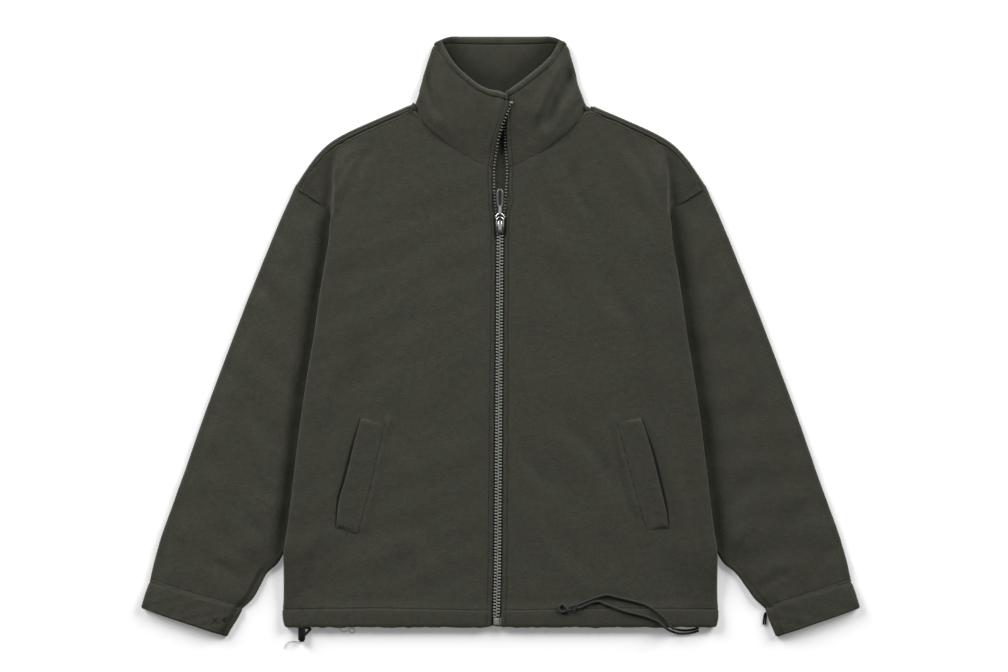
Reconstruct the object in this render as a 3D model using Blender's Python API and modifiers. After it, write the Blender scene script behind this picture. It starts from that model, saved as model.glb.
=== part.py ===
"""Fleece jacket with a stand collar and a full-length zip, laid flat on its back.

Every measure below is in millimetres. +X is the wearer's left, +Y points to the collar and +Z up out of
the front. Each piece of cloth is its outer face, worked out on a grid, with the wall grown inwards from
it, so layers that touch at a seam stay a fraction of a millimetre apart.
"""

import math

import bpy
import numpy as np

MM = 0.001

# walls
WALL = 2.4
SLEEVE_WALL = 2.1
HEM_WALL = 4.0
COLLAR_WALL = 3.0
CUFF_WALL = 3.2

# levels of the outer faces above the surface the jacket lies on
FRONT_TOP = 8.2
HEM_TOP = 9.6
COLLAR_TOP = 9.7
SLEEVE_LOW = 5.4
SLEEVE_RISE = 3.6
SHOULDER_ROLL = 4.1
COLLAR_ROLL = COLLAR_TOP / 2

HEM_Y = -391.0
HEM_STITCH_Y = -368.0
FOLD_END_Y = 260.0

# side fold of a front: height up the body, the fold, its top, its turned-under face, and the cut edge
FOLD = np.array([
    # y,      x,     top,  under, edge_x, edge_y
    (-391.0, 291.6,  9.6,  0.0,  285.9, -391.0),
    (-375.0, 295.0,  9.6,  0.0,  289.3, -375.0),
    (-356.0, 293.0,  9.6,  0.0,  287.3, -356.0),
    (-330.0, 293.0, 10.4,  0.6,  287.2, -330.0),
    (-292.0, 293.0, 13.4,  6.1,  288.4, -292.0),
    (-257.0, 287.5, 13.5,  6.1,  282.9, -257.0),
    (-192.0, 279.5, 13.5,  6.1,  274.9, -192.0),
    (-128.0, 272.0, 13.5,  6.1,  267.4, -128.0),
    (-76.0,  264.6, 13.5,  6.1,  260.0,  -76.0),
    (-66.0,  263.2, 13.5,  5.8,  258.4,  -66.0),
    (-45.0,  259.8, 13.5,  5.8,  252.0,  -45.0),
    (-25.0,  256.4, 13.5,  5.8,  240.0,  -25.0),
    (0.0,    252.1, 13.5,  5.8,  225.0,    0.0),
    (30.0,   247.9, 13.5,  5.8,  214.0,   30.0),
    (65.0,   243.0, 13.5,  5.8,  208.0,   65.0),
    (110.0,  235.5, 13.5,  5.8,  208.0,  110.0),
    (130.0,  232.0, 13.5,  5.8,  210.0,  130.0),
    (150.0,  230.6, 13.5,  5.8,  215.0,  150.0),
    (161.0,  229.0, 13.5,  5.8,  228.6,  161.0),
    (171.0,  227.5, 13.5,  5.8,  231.0,  172.0),
    (185.0,  226.8, 13.3,  6.5,  241.0,  178.3),
    (200.0,  226.3, 12.7,  7.0,  250.0,  184.0),
    (215.0,  225.8, 11.7,  6.6,  257.5,  188.7),
    (235.0,  224.5, 10.0,  5.0,  265.5,  193.8),
    (250.0,  222.5,  8.8,  3.8,  270.0,  196.7),
    (260.0,  219.0,  8.2,  3.2,  272.5,  198.2),
])

# where the front has climbed to the level of its side fold
CLIMB = np.array([
    # y,     x
    (-391.0, 275.0), (-330.0, 272.0), (-292.0, 262.0), (-240.0, 255.0), (-190.0, 242.0),
    (-140.0, 236.0), (-95.0, 236.0), (-66.0, 230.0), (-45.0, 222.0), (0.0, 212.0),
    (65.0, 205.0), (110.0, 205.0), (150.0, 211.0), (177.0, 215.0), (260.0, 205.0),
])
CLIMB_WIDTH = 48.0

# shoulder: silhouette of the roll, and the seam on the front that it comes over to
SHOULDER = np.array([
    # x,     y,     seam_x, seam_y
    (118.0, 313.6, 124.0, 303.3),
    (152.5, 300.0, 155.0, 291.0),
    (190.0, 284.0, 188.0, 275.8),
    (222.0, 268.0, 216.0, 261.5),
    (242.0, 252.0, 235.0, 248.0),
    (255.0, 236.0, 247.5, 234.0),
    (267.0, 219.0, 259.0, 220.3),
    (277.0, 203.4, 271.7, 199.9),
])

# top edge of a front: the neckline, then the shoulder as far as the side fold
FRONT_EDGE_TOP = np.array([
    # x,     y
    (5.0, 229.0), (10.0, 229.0), (20.0, 231.0), (40.0, 240.0), (68.0, 258.0), (100.0, 285.0),
    (119.0, 304.4), (124.0, 302.2), (155.0, 289.9), (188.0, 274.8), (216.0, 260.6),
])
CAP_EDGE = [(216.0, 260.6), (234.2, 247.1), (246.5, 233.1), (258.0, 219.4), (272.5, 198.2)]
BACK_NECK = np.array([(0.0, 294.8), (60.0, 297.0), (90.0, 299.2)])

# back armhole, x up the body; below it the back ends beside the fold of the front
BACK_SIDE = np.array([
    # y,     x
    (-66.0, 257.9), (-45.0, 257.0), (0.0, 253.0), (60.0, 249.0), (130.0, 252.0), (170.0, 260.5), (203.4, 277.0),
])

# sleeve: fold edges from the shoulder and from the underarm down to the cuff seam
SLEEVE_OUTER = [
    (278.6, 201.0), (288, 179), (299, 155), (319, 106), (342, 49), (373, -32),
    (403, -113), (431, -194), (460, -275), (474.5, -331.5),
]
SLEEVE_INNER = [
    (262, -66), (262.5, -80), (263, -110), (264.5, -145), (268.5, -190), (278, -240),
    (294, -296), (315, -316), (342, -352), (357.5, -367.5),
]
SLEEVE_HEAD_FRONT = [
    (278.6, 201.0), (255.8, 186.2), (233.9, 171.9), (232.4, 161.0), (224.0, 147.0), (213.0, 120.0), (210.0, 80.0),
    (216.0, 32.0), (229.0, 0.0), (245.0, -24.0), (257.0, -43.0), (262.0, -66.0),
]
SLEEVE_HEAD_BACK = [
    (278.6, 201.0), (268.0, 181.0), (257.5, 150.0), (251.5, 100.0), (250.5, 50.0), (255.0, 0.0), (259.0, -40.0), (262.0, -66.0),
]
CUFF_OUTER = [(474.9, -332.3), (483.0, -349.0), (486.0, -366.5)]
CUFF_INNER = [(357.4, -368.3), (362.5, -388.0), (372.6, -406.0)]

# collar
COLLAR_SIDE = [(116.9, 310.4), (114.6, 318), (110, 325), (104.6, 341), (101, 357), (97, 372), (93.5, 385),
               (89.5, 395.5), (85.5, 403)]
COLLAR_BASE = [(20, 232.2), (40, 241.2), (68, 259.2), (92, 279.5), (108, 296.5), (112, 310.4)]
COLLAR_V = {
    -1: [(11, 326), (-2, 331), (-23, 337.5), (-56, 362), (-72, 379), (-79, 393), (-80.65, 403)],
    1: [(7, 331), (18, 338), (33, 349), (51, 363.5), (67, 378.5), (76, 393.5), (80.65, 403)],
}
COLLAR_LAP = 4.6

# zip: its line down the body, then the free edge of each row of teeth above the slider
ZIP = np.array([
    # y,      right row, left row
    (-392.0, -6.15, -5.85),
    (-315.0, -4.15, -3.85),
    (137.0,  -0.85, -0.55),
    (150.0,  -0.85, -0.55),
    (162.0,  -2.60,  1.20),
    (198.0,  -5.50,  4.50),
    (225.0,  -6.00,  6.00),
    (245.0,  -3.60,  4.60),
    (262.0,  -0.70,  3.20),
    (285.0,   6.00,  2.40),
    (305.0,  14.00,  1.60),
    (318.0,  17.00,  1.00),
])
TEETH_WIDTH = 4.45
TAPE_IN = 4.9
TAPE_OUT = 21.0
CLOTH_IN = 7.8
SLIDER_Y = 149.5
ZIP_HEIGHTS = [-345, -300, -250, -200, -150, -100, -50, 0, 50, 100, 137, 150, 162, 180, 198, 212, 225, 236, 245, 254,
               262, 270, 278, 285, 295, 305]

# pocket welts: a row for each height, outer edge then inner edge
WELTS = {
    -1: [(188.3, -108.3, 156.5, -116), (197.8, -144.8, 164.5, -152), (208.6, -189.3, 174.5, -196),
         (218.0, -221.7, 184.0, -232), (222.0, -258.0, 192.5, -265)],
    1: [(189.7, -108.3, 157.5, -114), (203.2, -152.0, 169.0, -158), (214.0, -195.0, 179.5, -198),
        (223.5, -235.6, 190.0, -237), (226.1, -258.2, 198.5, -263)],
}

# broad troughs in the fronts: two ends, half width, depth
CREASES = {
    -1: [(-60, 190, -150, 60, 14, 1.1), (-40, -60, -120, -150, 16, 1.0), (-70, -250, -150, -330, 13, 0.9)],
    1: [(95, 232, 134, 101, 13, 1.4), (134, 101, 167, 48, 12, 1.2), (17, -135, 63, -193, 14, 1.2),
        (63, -193, 114, -234, 14, 1.3), (107, -129, 160, -200, 12, 1.0)],
}

FLEECE = (0.052, 0.054, 0.040, 1.0)
LINING = (0.035, 0.034, 0.026, 1.0)
TAPE = (0.060, 0.064, 0.052, 1.0)
TEETH = (0.160, 0.180, 0.150, 1.0)
STEEL = (0.720, 0.720, 0.710, 1.0)
BLACK = (0.012, 0.012, 0.012, 1.0)


# ---------------------------------------------------------------- helpers


def smooth(t):
    """0 to 1 with level ends, for any array."""
    t = np.clip(t, 0.0, 1.0)
    return t * t * (3.0 - 2.0 * t)


def read(table, at, column=1):
    """A column of a table at heights between its rows."""
    return np.interp(at, table[:, 0], table[:, column])


def path(points, fractions):
    """Points of a smooth curve through the given ones, at fractions of its length."""
    p = np.asarray(points, float)
    p = np.vstack([2 * p[0] - p[1], p, 2 * p[-1] - p[-2]])
    t = np.linspace(0.0, 1.0, 13)[:-1, None]
    dense = [
        0.5 * (2 * b + (c - a) * t + (2 * a - 5 * b + 4 * c - d) * t ** 2 + (3 * b - 3 * c + d - a) * t ** 3)
        for a, b, c, d in zip(p[:-3], p[1:-2], p[2:-1], p[3:])
    ]
    dense = np.vstack(dense + [p[-2:-1]])
    length = np.append(0.0, np.cumsum(np.linalg.norm(np.diff(dense, axis=0), axis=1)))
    at = np.asarray(fractions) * length[-1]
    return np.stack([np.interp(at, length, dense[:, k]) for k in range(dense.shape[1])], -1)


def material(name, colour, roughness, metallic=0.0):
    made = bpy.data.materials.new(name)
    made.use_nodes = True
    shader = made.node_tree.nodes["Principled BSDF"]
    shader.inputs["Base Color"].default_value = colour
    shader.inputs["Roughness"].default_value = roughness
    shader.inputs["Metallic"].default_value = metallic
    made.diffuse_color = colour
    return made


def add_mesh(name, points, faces, look, origin=(0.0, 0.0, 0.0), where=None):
    """An object from points in millimetres, with its own origin and its own material."""
    mesh = bpy.data.meshes.new(name)
    local = (np.asarray(points, float) - np.asarray(origin)) * MM
    mesh.from_pydata([tuple(p) for p in local], [], [tuple(int(i) for i in f) for f in faces])
    mesh.update()
    piece = bpy.data.objects.new(name, mesh)
    piece.location = tuple(c * MM for c in origin)
    if look:
        mesh.materials.append(material(name, *look))
    (where or JACKET).objects.link(piece)
    return piece


def cloth(name, grid, wall, look, ring=False, keep=None, flip=False, share=None):
    """Cloth from a grid of points on its outer face; share thins the wall point by point."""
    rows, columns = grid.shape[:2]
    index = np.arange(rows * columns).reshape(rows, columns)
    if ring:
        index = np.hstack([index, index[:, :1]])
    quads = np.stack([index[:-1, :-1], index[:-1, 1:], index[1:, 1:], index[1:, :-1]], -1)
    quads = quads[keep] if keep is not None else quads.reshape(-1, 4)
    if flip:
        quads = quads[:, ::-1]
    used, quads = np.unique(quads, return_inverse=True)
    quads = quads.reshape(-1, 4)
    piece = add_mesh(name, grid.reshape(-1, 3)[used], quads, look)
    solid = piece.modifiers.new("wall", "SOLIDIFY")
    solid.thickness = wall * MM
    solid.offset = -1.0
    solid.use_even_offset = False
    solid.use_rim = True
    if share is not None:
        group = piece.vertex_groups.new(name="wall")
        for i, weight in enumerate(share.reshape(-1)[used]):
            group.add([i], float(weight), "REPLACE")
        solid.vertex_group = "wall"
    return piece


def loft(name, rings, look, origin=(0.0, 0.0, 0.0), where=None):
    """A closed solid through rings of the same number of points, with flat ends."""
    rings = np.asarray(rings, float)
    count, around = rings.shape[:2]
    index = np.arange(count * around).reshape(count, around)
    wrapped = np.hstack([index, index[:, :1]])
    quads = np.stack([wrapped[:-1, :-1], wrapped[:-1, 1:], wrapped[1:, 1:], wrapped[1:, :-1]], -1).reshape(-1, 4)
    faces = [tuple(q) for q in quads] + [tuple(index[0][::-1]), tuple(index[-1])]
    points = rings.reshape(-1, 3)
    centre = points.mean(axis=0)
    first = points[list(faces[0])]
    normal = np.cross(first[1] - first[0], first[2] - first[1])
    if np.dot(normal, first.mean(axis=0) - centre) < 0:
        faces = [f[::-1] for f in faces]
    return add_mesh(name, points, faces, look, origin, where)


def prism(name, outline, low, high, look, origin=(0.0, 0.0, 0.0), where=None):
    """An outline in the plane of the surface, given some height."""
    outline = np.asarray(outline, float)
    if np.sum(outline[:, 0] * np.roll(outline[:, 1], -1) - np.roll(outline[:, 0], -1) * outline[:, 1]) < 0:
        outline = outline[::-1]
    rings = [np.column_stack([outline, np.full(len(outline), z)]) for z in (low, high)]
    count = len(outline)
    faces = [(i, (i + 1) % count, count + (i + 1) % count, count + i) for i in range(count)]
    faces += [tuple(range(count))[::-1], tuple(range(count, 2 * count))]
    return add_mesh(name, np.vstack(rings), faces, look, origin, where)


def combine(piece, other, operation):
    made = piece.modifiers.new(other.name, "BOOLEAN")
    made.operation = operation
    made.solver = "EXACT"
    made.object = other


def cord(name, route, diameter, look, spacing=2.5):
    """A round cord along a route in millimetres."""
    route = np.asarray(route, float)
    length = np.linalg.norm(np.diff(path(route, np.linspace(0, 1, 200)), axis=0), axis=1).sum()
    count = int(min(80, max(8, round(length / (spacing * diameter)))))
    points = path(route, np.linspace(0, 1, count)) * MM
    curve = bpy.data.curves.new(name, "CURVE")
    curve.dimensions = "3D"
    curve.bevel_depth = diameter / 2 * MM
    curve.bevel_resolution = 2
    curve.use_fill_caps = True
    spline = curve.splines.new("POLY")
    spline.points.add(count - 1)
    for point, place in zip(spline.points, points):
        point.co = (*place, 1.0)
    curve.materials.append(material(name, *look))
    piece = bpy.data.objects.new(name, curve)
    JACKET.objects.link(piece)
    return piece


def ellipse(centre, half_x, half_y, count=16):
    angle = np.linspace(0, 2 * math.pi, count, endpoint=False)
    return np.column_stack([centre[0] + half_x * np.cos(angle), centre[1] + half_y * np.sin(angle)])


# ---------------------------------------------------------------- heights of the layers


def crease_depth(x, y, side):
    depth = np.zeros_like(x)
    for x0, y0, x1, y1, width, deep in CREASES[side]:
        run = math.hypot(x1 - x0, y1 - y0)
        along = ((x - x0) * (x1 - x0) + (y - y0) * (y1 - y0)) / run
        across = ((x - x0) * (y1 - y0) - (y - y0) * (x1 - x0)) / run
        ends = smooth((along + 15) / 30) * smooth((run + 15 - along) / 30)
        depth = depth + deep * ends * np.exp(-((across / width) ** 2))
    return np.minimum(depth, 1.6)


def front_height(x, y, side):
    """Outer face of a front between the zip and its side fold."""
    base = FRONT_TOP + (HEM_TOP - FRONT_TOP) * smooth((HEM_STITCH_Y + 8 - y) / 8)
    climb = smooth((np.abs(x) - read(CLIMB, y) + CLIMB_WIDTH) / CLIMB_WIDTH)
    open_cloth = smooth((np.abs(x) - 24) / 20) * smooth((y - HEM_STITCH_Y - 6) / 20) * (1 - climb)
    return base + (read(FOLD, y, 2) - base) * climb - crease_depth(x, y, side) * open_cloth


def arm_height(x, y):
    """Outer face of the shoulder cap and of the sleeve: low beside the body's fold, higher beyond it."""
    x = np.abs(x)
    height = SLEEVE_LOW + SLEEVE_RISE * smooth((x - read(FOLD, y) - 20) / 48)
    seam = np.interp(x, SHOULDER[:, 2], SHOULDER[:, 3], right=9999.0)
    near = smooth(1 - (seam - y) / 30) * (x < 276)
    return height + (FRONT_TOP - height) * near


def zip_edge(y, side):
    return read(ZIP, y, 1 if side < 0 else 2)


def collar_lap(y, side, x):
    """How much the wearer's right front of the collar rides over the left one."""
    return COLLAR_LAP * smooth((y - 244) / 26) * smooth((x + 24) / 26) if side < 0 else np.zeros_like(y)


# ---------------------------------------------------------------- cloth pieces

FRONT_ROWS = np.array([
    -391, -381, -369, -360, -345, -328, -310, -292, -262, -228, -190, -150, -110, -76, -66, -45, -25, 0,
    30, 65, 100, 130, 150, 161, 171, 185, 200, 215, 235, 250, 260,
], float)
FRONT_COLUMNS = np.array([0, 0.05, 0.13, 0.22, 0.32, 0.43, 0.527, 0.63, 0.72, 0.80, 0.87, 0.94, 1.0])
ROLL_ANGLES = np.radians([36, 72, 108, 144, 180])
CROSSING_Y = 161.0
CAP_STEPS = np.array([0.08, 0.17, 0.29, 0.43, 0.58, 0.79, 1.0])


def front_panel(name, side):
    """A front: flat to the side fold, then rolled under to the side seam, or laid on over the shoulder cap."""
    y_fold = FRONT_ROWS
    fold, top, under, edge_x, edge_y = (read(FOLD, y_fold, c) for c in range(1, 6))
    radius = (top - under) / 2
    start = fold - np.where(y_fold > CROSSING_Y, 8 - 5 * smooth((y_fold - 171) / 89), radius)
    up = (y_fold - HEM_Y) / (FOLD_END_Y - HEM_Y)
    y_centre = HEM_Y + (229.0 - HEM_Y) * up
    edge = side * zip_edge(y_centre, side) + CLOTH_IN
    u = FRONT_COLUMNS
    x = edge[:, None] * (1 - u) + start[:, None] * u
    y_top = np.interp(x[-1], FRONT_EDGE_TOP[:, 0], FRONT_EDGE_TOP[:, 1])
    y = HEM_Y + (y_top - HEM_Y)[None, :] * up[:, None]
    y[:, -1] = y_fold
    body = np.stack([x, y, front_height(side * x, y, side)], -1)

    roll_x = start[:, None] + radius[:, None] * np.sin(ROLL_ANGLES)
    roll_z = under[:, None] + radius[:, None] * (1 + np.cos(ROLL_ANGLES))
    middle = (roll_x[:, -1] + edge_x) / 2
    turned = np.stack([
        np.column_stack([roll_x, middle, edge_x]),
        np.repeat(y_fold[:, None], 7, axis=1),
        np.column_stack([roll_z, under, under]),
    ], -1)

    t = CAP_STEPS
    cap_x = start[:, None] * (1 - t) + edge_x[:, None] * t
    cap_y = y_fold[:, None] * (1 - t) + edge_y[:, None] * t
    last = np.column_stack([cap_x[-1], cap_y[-1]])
    bow = path(CAP_EDGE, t) - last
    swing = smooth((y_fold - 171) / (FOLD_END_Y - 171))[:, None]
    cap_x = cap_x + swing * bow[:, 0]
    cap_y = cap_y + swing * bow[:, 1]
    away = np.hypot(cap_x - start[:, None], cap_y - y_fold[:, None])
    level = arm_height(cap_x, cap_y)
    step = smooth(away / np.minimum(14.0, away[:, -1:]))
    laid = np.stack([cap_x, cap_y, level + (np.maximum(top[:, None], level) - level) * (1 - step)], -1)

    # where the fold crosses the armhole seam the cloth just turns down to its edge
    quarter = np.radians([40, 90])
    drop = np.array([0.2, 0.4, 0.6, 0.8, 1.0])
    r = radius[:, None]
    down_x = np.concatenate([start[:, None] + r * np.sin(quarter), (start + radius)[:, None] + 0 * drop], axis=1)
    down_z = np.concatenate([top[:, None] - r * (1 - np.cos(quarter)), (top - radius)[:, None] - r * drop], axis=1)
    down = np.stack([down_x, np.repeat(y_fold[:, None], 7, axis=1), down_z], -1)

    which = y_fold[:, None, None]
    end = np.where(which < CROSSING_Y, turned, np.where(which > CROSSING_Y, laid, down))
    grid = np.concatenate([body, end], axis=1)
    grid[..., 0] *= side
    share = np.where(grid[..., 1] < HEM_STITCH_Y - 0.5, 1.0, WALL / HEM_WALL)
    cloth(name, grid, HEM_WALL, (FLEECE, 0.95), flip=side < 0, share=share)


BACK_ROWS = np.array([
    -391, -381, -369, -350, -330, -311, -292, -262, -228, -190, -150, -110, -84, -75, -63, -45, -10,
    30, 70, 110, 145, 175,
], float)
NECK_SHARES = [0.0, 0.11, 0.22, 0.32]
SHOULDER_SHARES = [0.4313, 0.50, 0.57, 0.64, 0.715, 0.79, 0.86, 0.93, 1.0]


def back_height(x, y):
    """Outer face of the back, lifted where the sleeve is tucked under it."""
    tucked = path(SLEEVE_INNER, np.linspace(0, 1, 60))
    tucked = tucked[np.argsort(tucked[:, 1])]
    inner = np.interp(y, tucked[:, 1], tucked[:, 0])
    inner = np.where(y < -292, 290, inner)
    lift = read(FOLD, y, 3) * smooth((-63 - y) / 19)
    return lift * smooth((np.abs(x) - inner + 30) / 24)


def back_side(y):
    """Side edge of the back: beside the rolled front, then the armhole."""
    radius = (read(FOLD, y, 2) - read(FOLD, y, 3)) / 2
    return np.where(y <= -75, read(FOLD, y) - radius - 1.4, read(BACK_SIDE, y))


def back_panel():
    shares = np.array(NECK_SHARES + SHOULDER_SHARES)
    roll = SHOULDER_ROLL
    tip = SHOULDER[-1]
    inward = np.array([tip[2] - tip[0], tip[3] - tip[1]])
    inward /= np.linalg.norm(inward)
    top_width = tip[0] + roll * inward[0]
    shoulder = np.arange(len(shares)) >= len(NECK_SHARES)
    # points of the shoulder roll for each shoulder column
    along = (shares - SHOULDER_SHARES[0]) / (1 - SHOULDER_SHARES[0])
    edge = path(SHOULDER[:, :2], np.clip(along, 0, 1))
    seam = path(SHOULDER[:, 2:], np.clip(along, 0, 1))
    way = seam - edge
    way /= np.linalg.norm(way, axis=1)[:, None]
    start = edge + roll * way
    neck_x = shares * top_width
    start[~shoulder] = np.column_stack([neck_x, np.interp(neck_x, BACK_NECK[:, 0], BACK_NECK[:, 1])])[~shoulder]

    up = (BACK_ROWS - HEM_Y) / (start[-1, 1] - HEM_Y)
    x = shares[None, :] * back_side(BACK_ROWS)[:, None]
    blend = smooth((up[:, None] - 0.75) / 0.25)
    x = x + blend * (start[:, 0] - shares * top_width)
    y = HEM_Y + (start[:, 1] - HEM_Y)[None, :] * up[:, None]
    rows = [np.stack([x, y, back_height(x, y)], -1)]
    rows.append(np.column_stack([start, np.zeros(len(start))])[None])
    for angle in np.radians([36, 72, 108, 144, 180]):
        plan = edge + roll * (1 - math.sin(angle)) * way
        rows.append(np.column_stack([plan, np.full(len(plan), roll * (1 - math.cos(angle)))])[None])
    rows.append(np.column_stack([seam, np.full(len(seam), FRONT_TOP)])[None])
    half = np.concatenate(rows, axis=0)
    mirrored = half[:, :0:-1].copy()
    mirrored[..., 0] *= -1
    grid = np.concatenate([mirrored, half], axis=1)
    keep = np.ones((grid.shape[0] - 1, grid.shape[1] - 1), bool)
    neck = np.abs(np.arange(grid.shape[1] - 1) + 0.5 - (len(shares) - 1)) < len(NECK_SHARES)
    keep[len(BACK_ROWS):, neck] = False
    share = np.where(grid[..., 1] < HEM_STITCH_Y - 0.5, 1.0, WALL / HEM_WALL)
    cloth("back_panel", grid, HEM_WALL, (FLEECE, 0.95), keep=keep, flip=True, share=share)


TOP_STEPS = np.array([0, 0.04, 0.09, 0.16, 0.25, 0.35, 0.46, 0.58, 0.70, 0.81, 0.91, 1.0])
UNDER_STEPS = np.array([1.0, 0.9, 0.75, 0.55, 0.35, 0.15, 0.0])
TURN = np.radians([45, 90, 135])


def sample(curve, distances):
    """Points of a polyline at distances along it, negative ones counted from its end."""
    run = np.append(0.0, np.cumsum(np.linalg.norm(np.diff(curve, axis=0), axis=1)))
    return np.column_stack([np.interp(distances(run[-1]), run, curve[:, k]) for k in (0, 1)])


def tube(tops, unders, edge_out, edge_in, height):
    """Rings of a flattened tube; each curve of tops and unders runs from the outer fold to the inner one."""
    rings = []
    for top, under, out_r, in_r in zip(tops, unders, edge_out / 2, edge_in / 2):
        upper = sample(top, lambda full: out_r + (full - out_r - in_r) * TOP_STEPS)
        lower = sample(under, lambda full: out_r + (full - out_r - in_r) * UNDER_STEPS)
        reach = np.linalg.norm(top[-1] - top[0])
        level = height(upper[:, 0], upper[:, 1])
        level = 2 * out_r + (level - 2 * out_r) * smooth(TOP_STEPS * reach / 26)
        level = 2 * in_r + (level - 2 * in_r) * smooth((1 - TOP_STEPS) * reach / 26)
        turn_in = [
            sample(curve, lambda full: np.array([full - in_r * (1 - math.sin(angle))]))
            for curve, angle in zip((top, top, under), TURN)
        ]
        turn_out = [
            sample(curve, lambda full: np.array([out_r * (1 - math.sin(angle))]))
            for curve, angle in zip((under, top, top), TURN[::-1])
        ]
        plan = np.vstack([upper] + turn_in + [lower] + turn_out)
        z = np.concatenate([
            level, in_r * (1 + np.cos(TURN)), np.zeros(len(lower)), out_r * (1 + np.cos(TURN[::-1])),
        ])
        rings.append(np.column_stack([plan, z]))
    return np.array(rings)


def sleeve(name, side):
    stations = np.array([0, 0.03, 0.07, 0.12, 0.18, 0.25, 0.32, 0.39, 0.46, 0.53, 0.6, 0.67, 0.74, 0.81, 0.88, 0.94, 1.0])
    outer, inner = path(SLEEVE_OUTER, stations), path(SLEEVE_INNER, stations)
    way_out, way_in = (
        path(edge, np.clip(stations + 0.01, 0, 1)) - path(edge, np.clip(stations - 0.01, 0, 1))
        for edge in (SLEEVE_OUTER, SLEEVE_INNER)
    )
    way_out /= np.linalg.norm(way_out, axis=1)[:, None]
    way_in /= np.linalg.norm(way_in, axis=1)[:, None]
    from_out = outer + 40 * np.column_stack([way_out[:, 1], -way_out[:, 0]])
    reach = np.interp(stations, [0, 0.03, 0.07, 0.12, 0.2, 0.35, 1], [20, 26, 30, 36, 45, 50, 42])[:, None]
    from_in = inner + reach * np.column_stack([-way_in[:, 1], way_in[:, 0]])
    t = np.linspace(0, 1, 90)[None, :, None]
    p0, p1, p2, p3 = (p[:, None, :] for p in (outer, from_out, from_in, inner))
    across = p0 * (1 - t) ** 3 + 3 * p1 * (1 - t) ** 2 * t + 3 * p2 * (1 - t) * t ** 2 + p3 * t ** 3
    straight = smooth((stations - 0.85) / 0.15)[:, None, None]
    across = across * (1 - straight) + (p0 * (1 - t) + p3 * t) * straight
    fade = 1 - smooth(stations[:, None, None] / (0.30 * (1 - t) ** 1.5 + 1e-3))
    heads = [path(head, np.linspace(0, 1, 90)) - across[0] for head in (SLEEVE_HEAD_FRONT, SLEEVE_HEAD_BACK)]
    edge_out = 7.0 + 1.2 * (1 - smooth(stations / 0.08))
    edge_in = SLEEVE_LOW + 1.4 * smooth((stations - 0.72) / 0.2)
    rings = tube(across + fade * heads[0], across + fade * heads[1], edge_out, edge_in, arm_height)
    rings[..., 0] *= side
    cloth(name, rings, SLEEVE_WALL, (FLEECE, 0.95), ring=True, flip=side < 0)


def cuff(name, side):
    stations = np.array([0.0, 0.3, 0.7, 1.0])
    outer, inner = path(CUFF_OUTER, stations), path(CUFF_INNER, stations)
    edge = np.array([7.0, 8.2, 8.2, 7.2])
    t = np.linspace(0, 1, 30)[None, :, None]
    across = outer[:, None] * (1 - t) + inner[:, None] * t
    rings = tube(across, across, edge, edge, lambda x, y: np.full_like(x, 9.4))
    rings[..., 0] *= side
    cloth(name, rings, CUFF_WALL, (FLEECE, 0.95), ring=True, flip=side < 0)


def coons(base, top, start, end, w, v):
    """A surface filled between four edges; w runs from start to end, v from base to top."""
    w, v = w[None, :, None], v[:, None, None]
    ruled = base[None] * (1 - v) + top[None] * v
    cross = start[:, None] * (1 - w) + end[:, None] * w
    corners = (base[0] * (1 - w) + base[-1] * w) * (1 - v) + (top[0] * (1 - w) + top[-1] * w) * v
    return ruled + cross - corners


def collar():
    v = np.array([0, 0.16, 0.34, 0.52, 0.7, 0.86, 1.0])
    w = np.array([0, 0.09, 0.2, 0.33, 0.47, 0.62, 0.76, 0.89, 1.0])
    side_edge = path(COLLAR_SIDE, v)
    roll = COLLAR_ROLL
    inside = side_edge - np.array([roll, 0.0])
    parts = []
    for side in (-1, 1):
        y = np.array([229.8, 245, 262, 285, 305, 316])
        x = zip_edge(y, side) - side * (-CLOTH_IN + 0.6)
        opening = np.column_stack([side * x, y])
        tip = COLLAR_V[side][0]
        opening = path(np.vstack([opening, [(side * tip[0] * (1 if side > 0 else 1), tip[1])]]), v)
        base = path(np.vstack([opening[:1], COLLAR_BASE]), w)
        rim = np.array([(abs(p[0]) if k > 1 else side * p[0], p[1]) for k, p in enumerate(COLLAR_V[side])])
        top = path(rim, w)
        base[0], top[0], top[-1], base[-1] = opening[0], opening[-1], inside[-1], inside[0]
        plan = coons(base, top, opening, inside, w, v)
        lap = collar_lap(plan[..., 1], side, side * plan[..., 0])
        parts.append(np.concatenate([plan, (COLLAR_TOP + lap)[..., None]], axis=2))
    angles = np.radians([36, 72, 108, 144])
    bend = np.stack([
        inside[:, None, 0] + roll * np.sin(angles),
        np.repeat(inside[:, 1:], 4, axis=1),
        np.repeat(roll * (1 + np.cos(angles))[None], len(v), axis=0),
    ], -1)
    across = np.array([1.0, 0.84, 0.66, 0.47, 0.25])
    back_base = np.column_stack([across * inside[0, 0], 295.6 + 14.8 * across ** 2])
    back_rim = np.column_stack([across * inside[-1, 0], 406.0 - 3.0 * smooth((across - 0.82) / 0.18)])
    middle = np.column_stack([np.zeros(len(v)), 295.6 + (406.0 - 295.6) * v])
    half = coons(back_base, back_rim, inside, np.column_stack([inside[:, 0] * 0.25, back_base[-1, 1] + (back_rim[-1, 1] - back_base[-1, 1]) * v]),
                 (1 - across) / 0.75, v)
    half = np.concatenate([half, np.zeros(half.shape[:2] + (1,))], axis=2)
    flipped = lambda part: part[:, ::-1] * np.array([-1.0, 1.0, 1.0])
    grid = np.concatenate([
        parts[0] * np.array([-1.0, 1.0, 1.0]),
        bend * np.array([-1.0, 1.0, 1.0]),
        half * np.array([-1.0, 1.0, 1.0]),
        np.column_stack([middle, np.zeros(len(v))])[:, None],
        half[:, ::-1],
        bend[:, ::-1],
        parts[1][:, ::-1],
    ], axis=1)
    cloth("collar", grid, COLLAR_WALL, (FLEECE, 0.95), flip=True)


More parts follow.
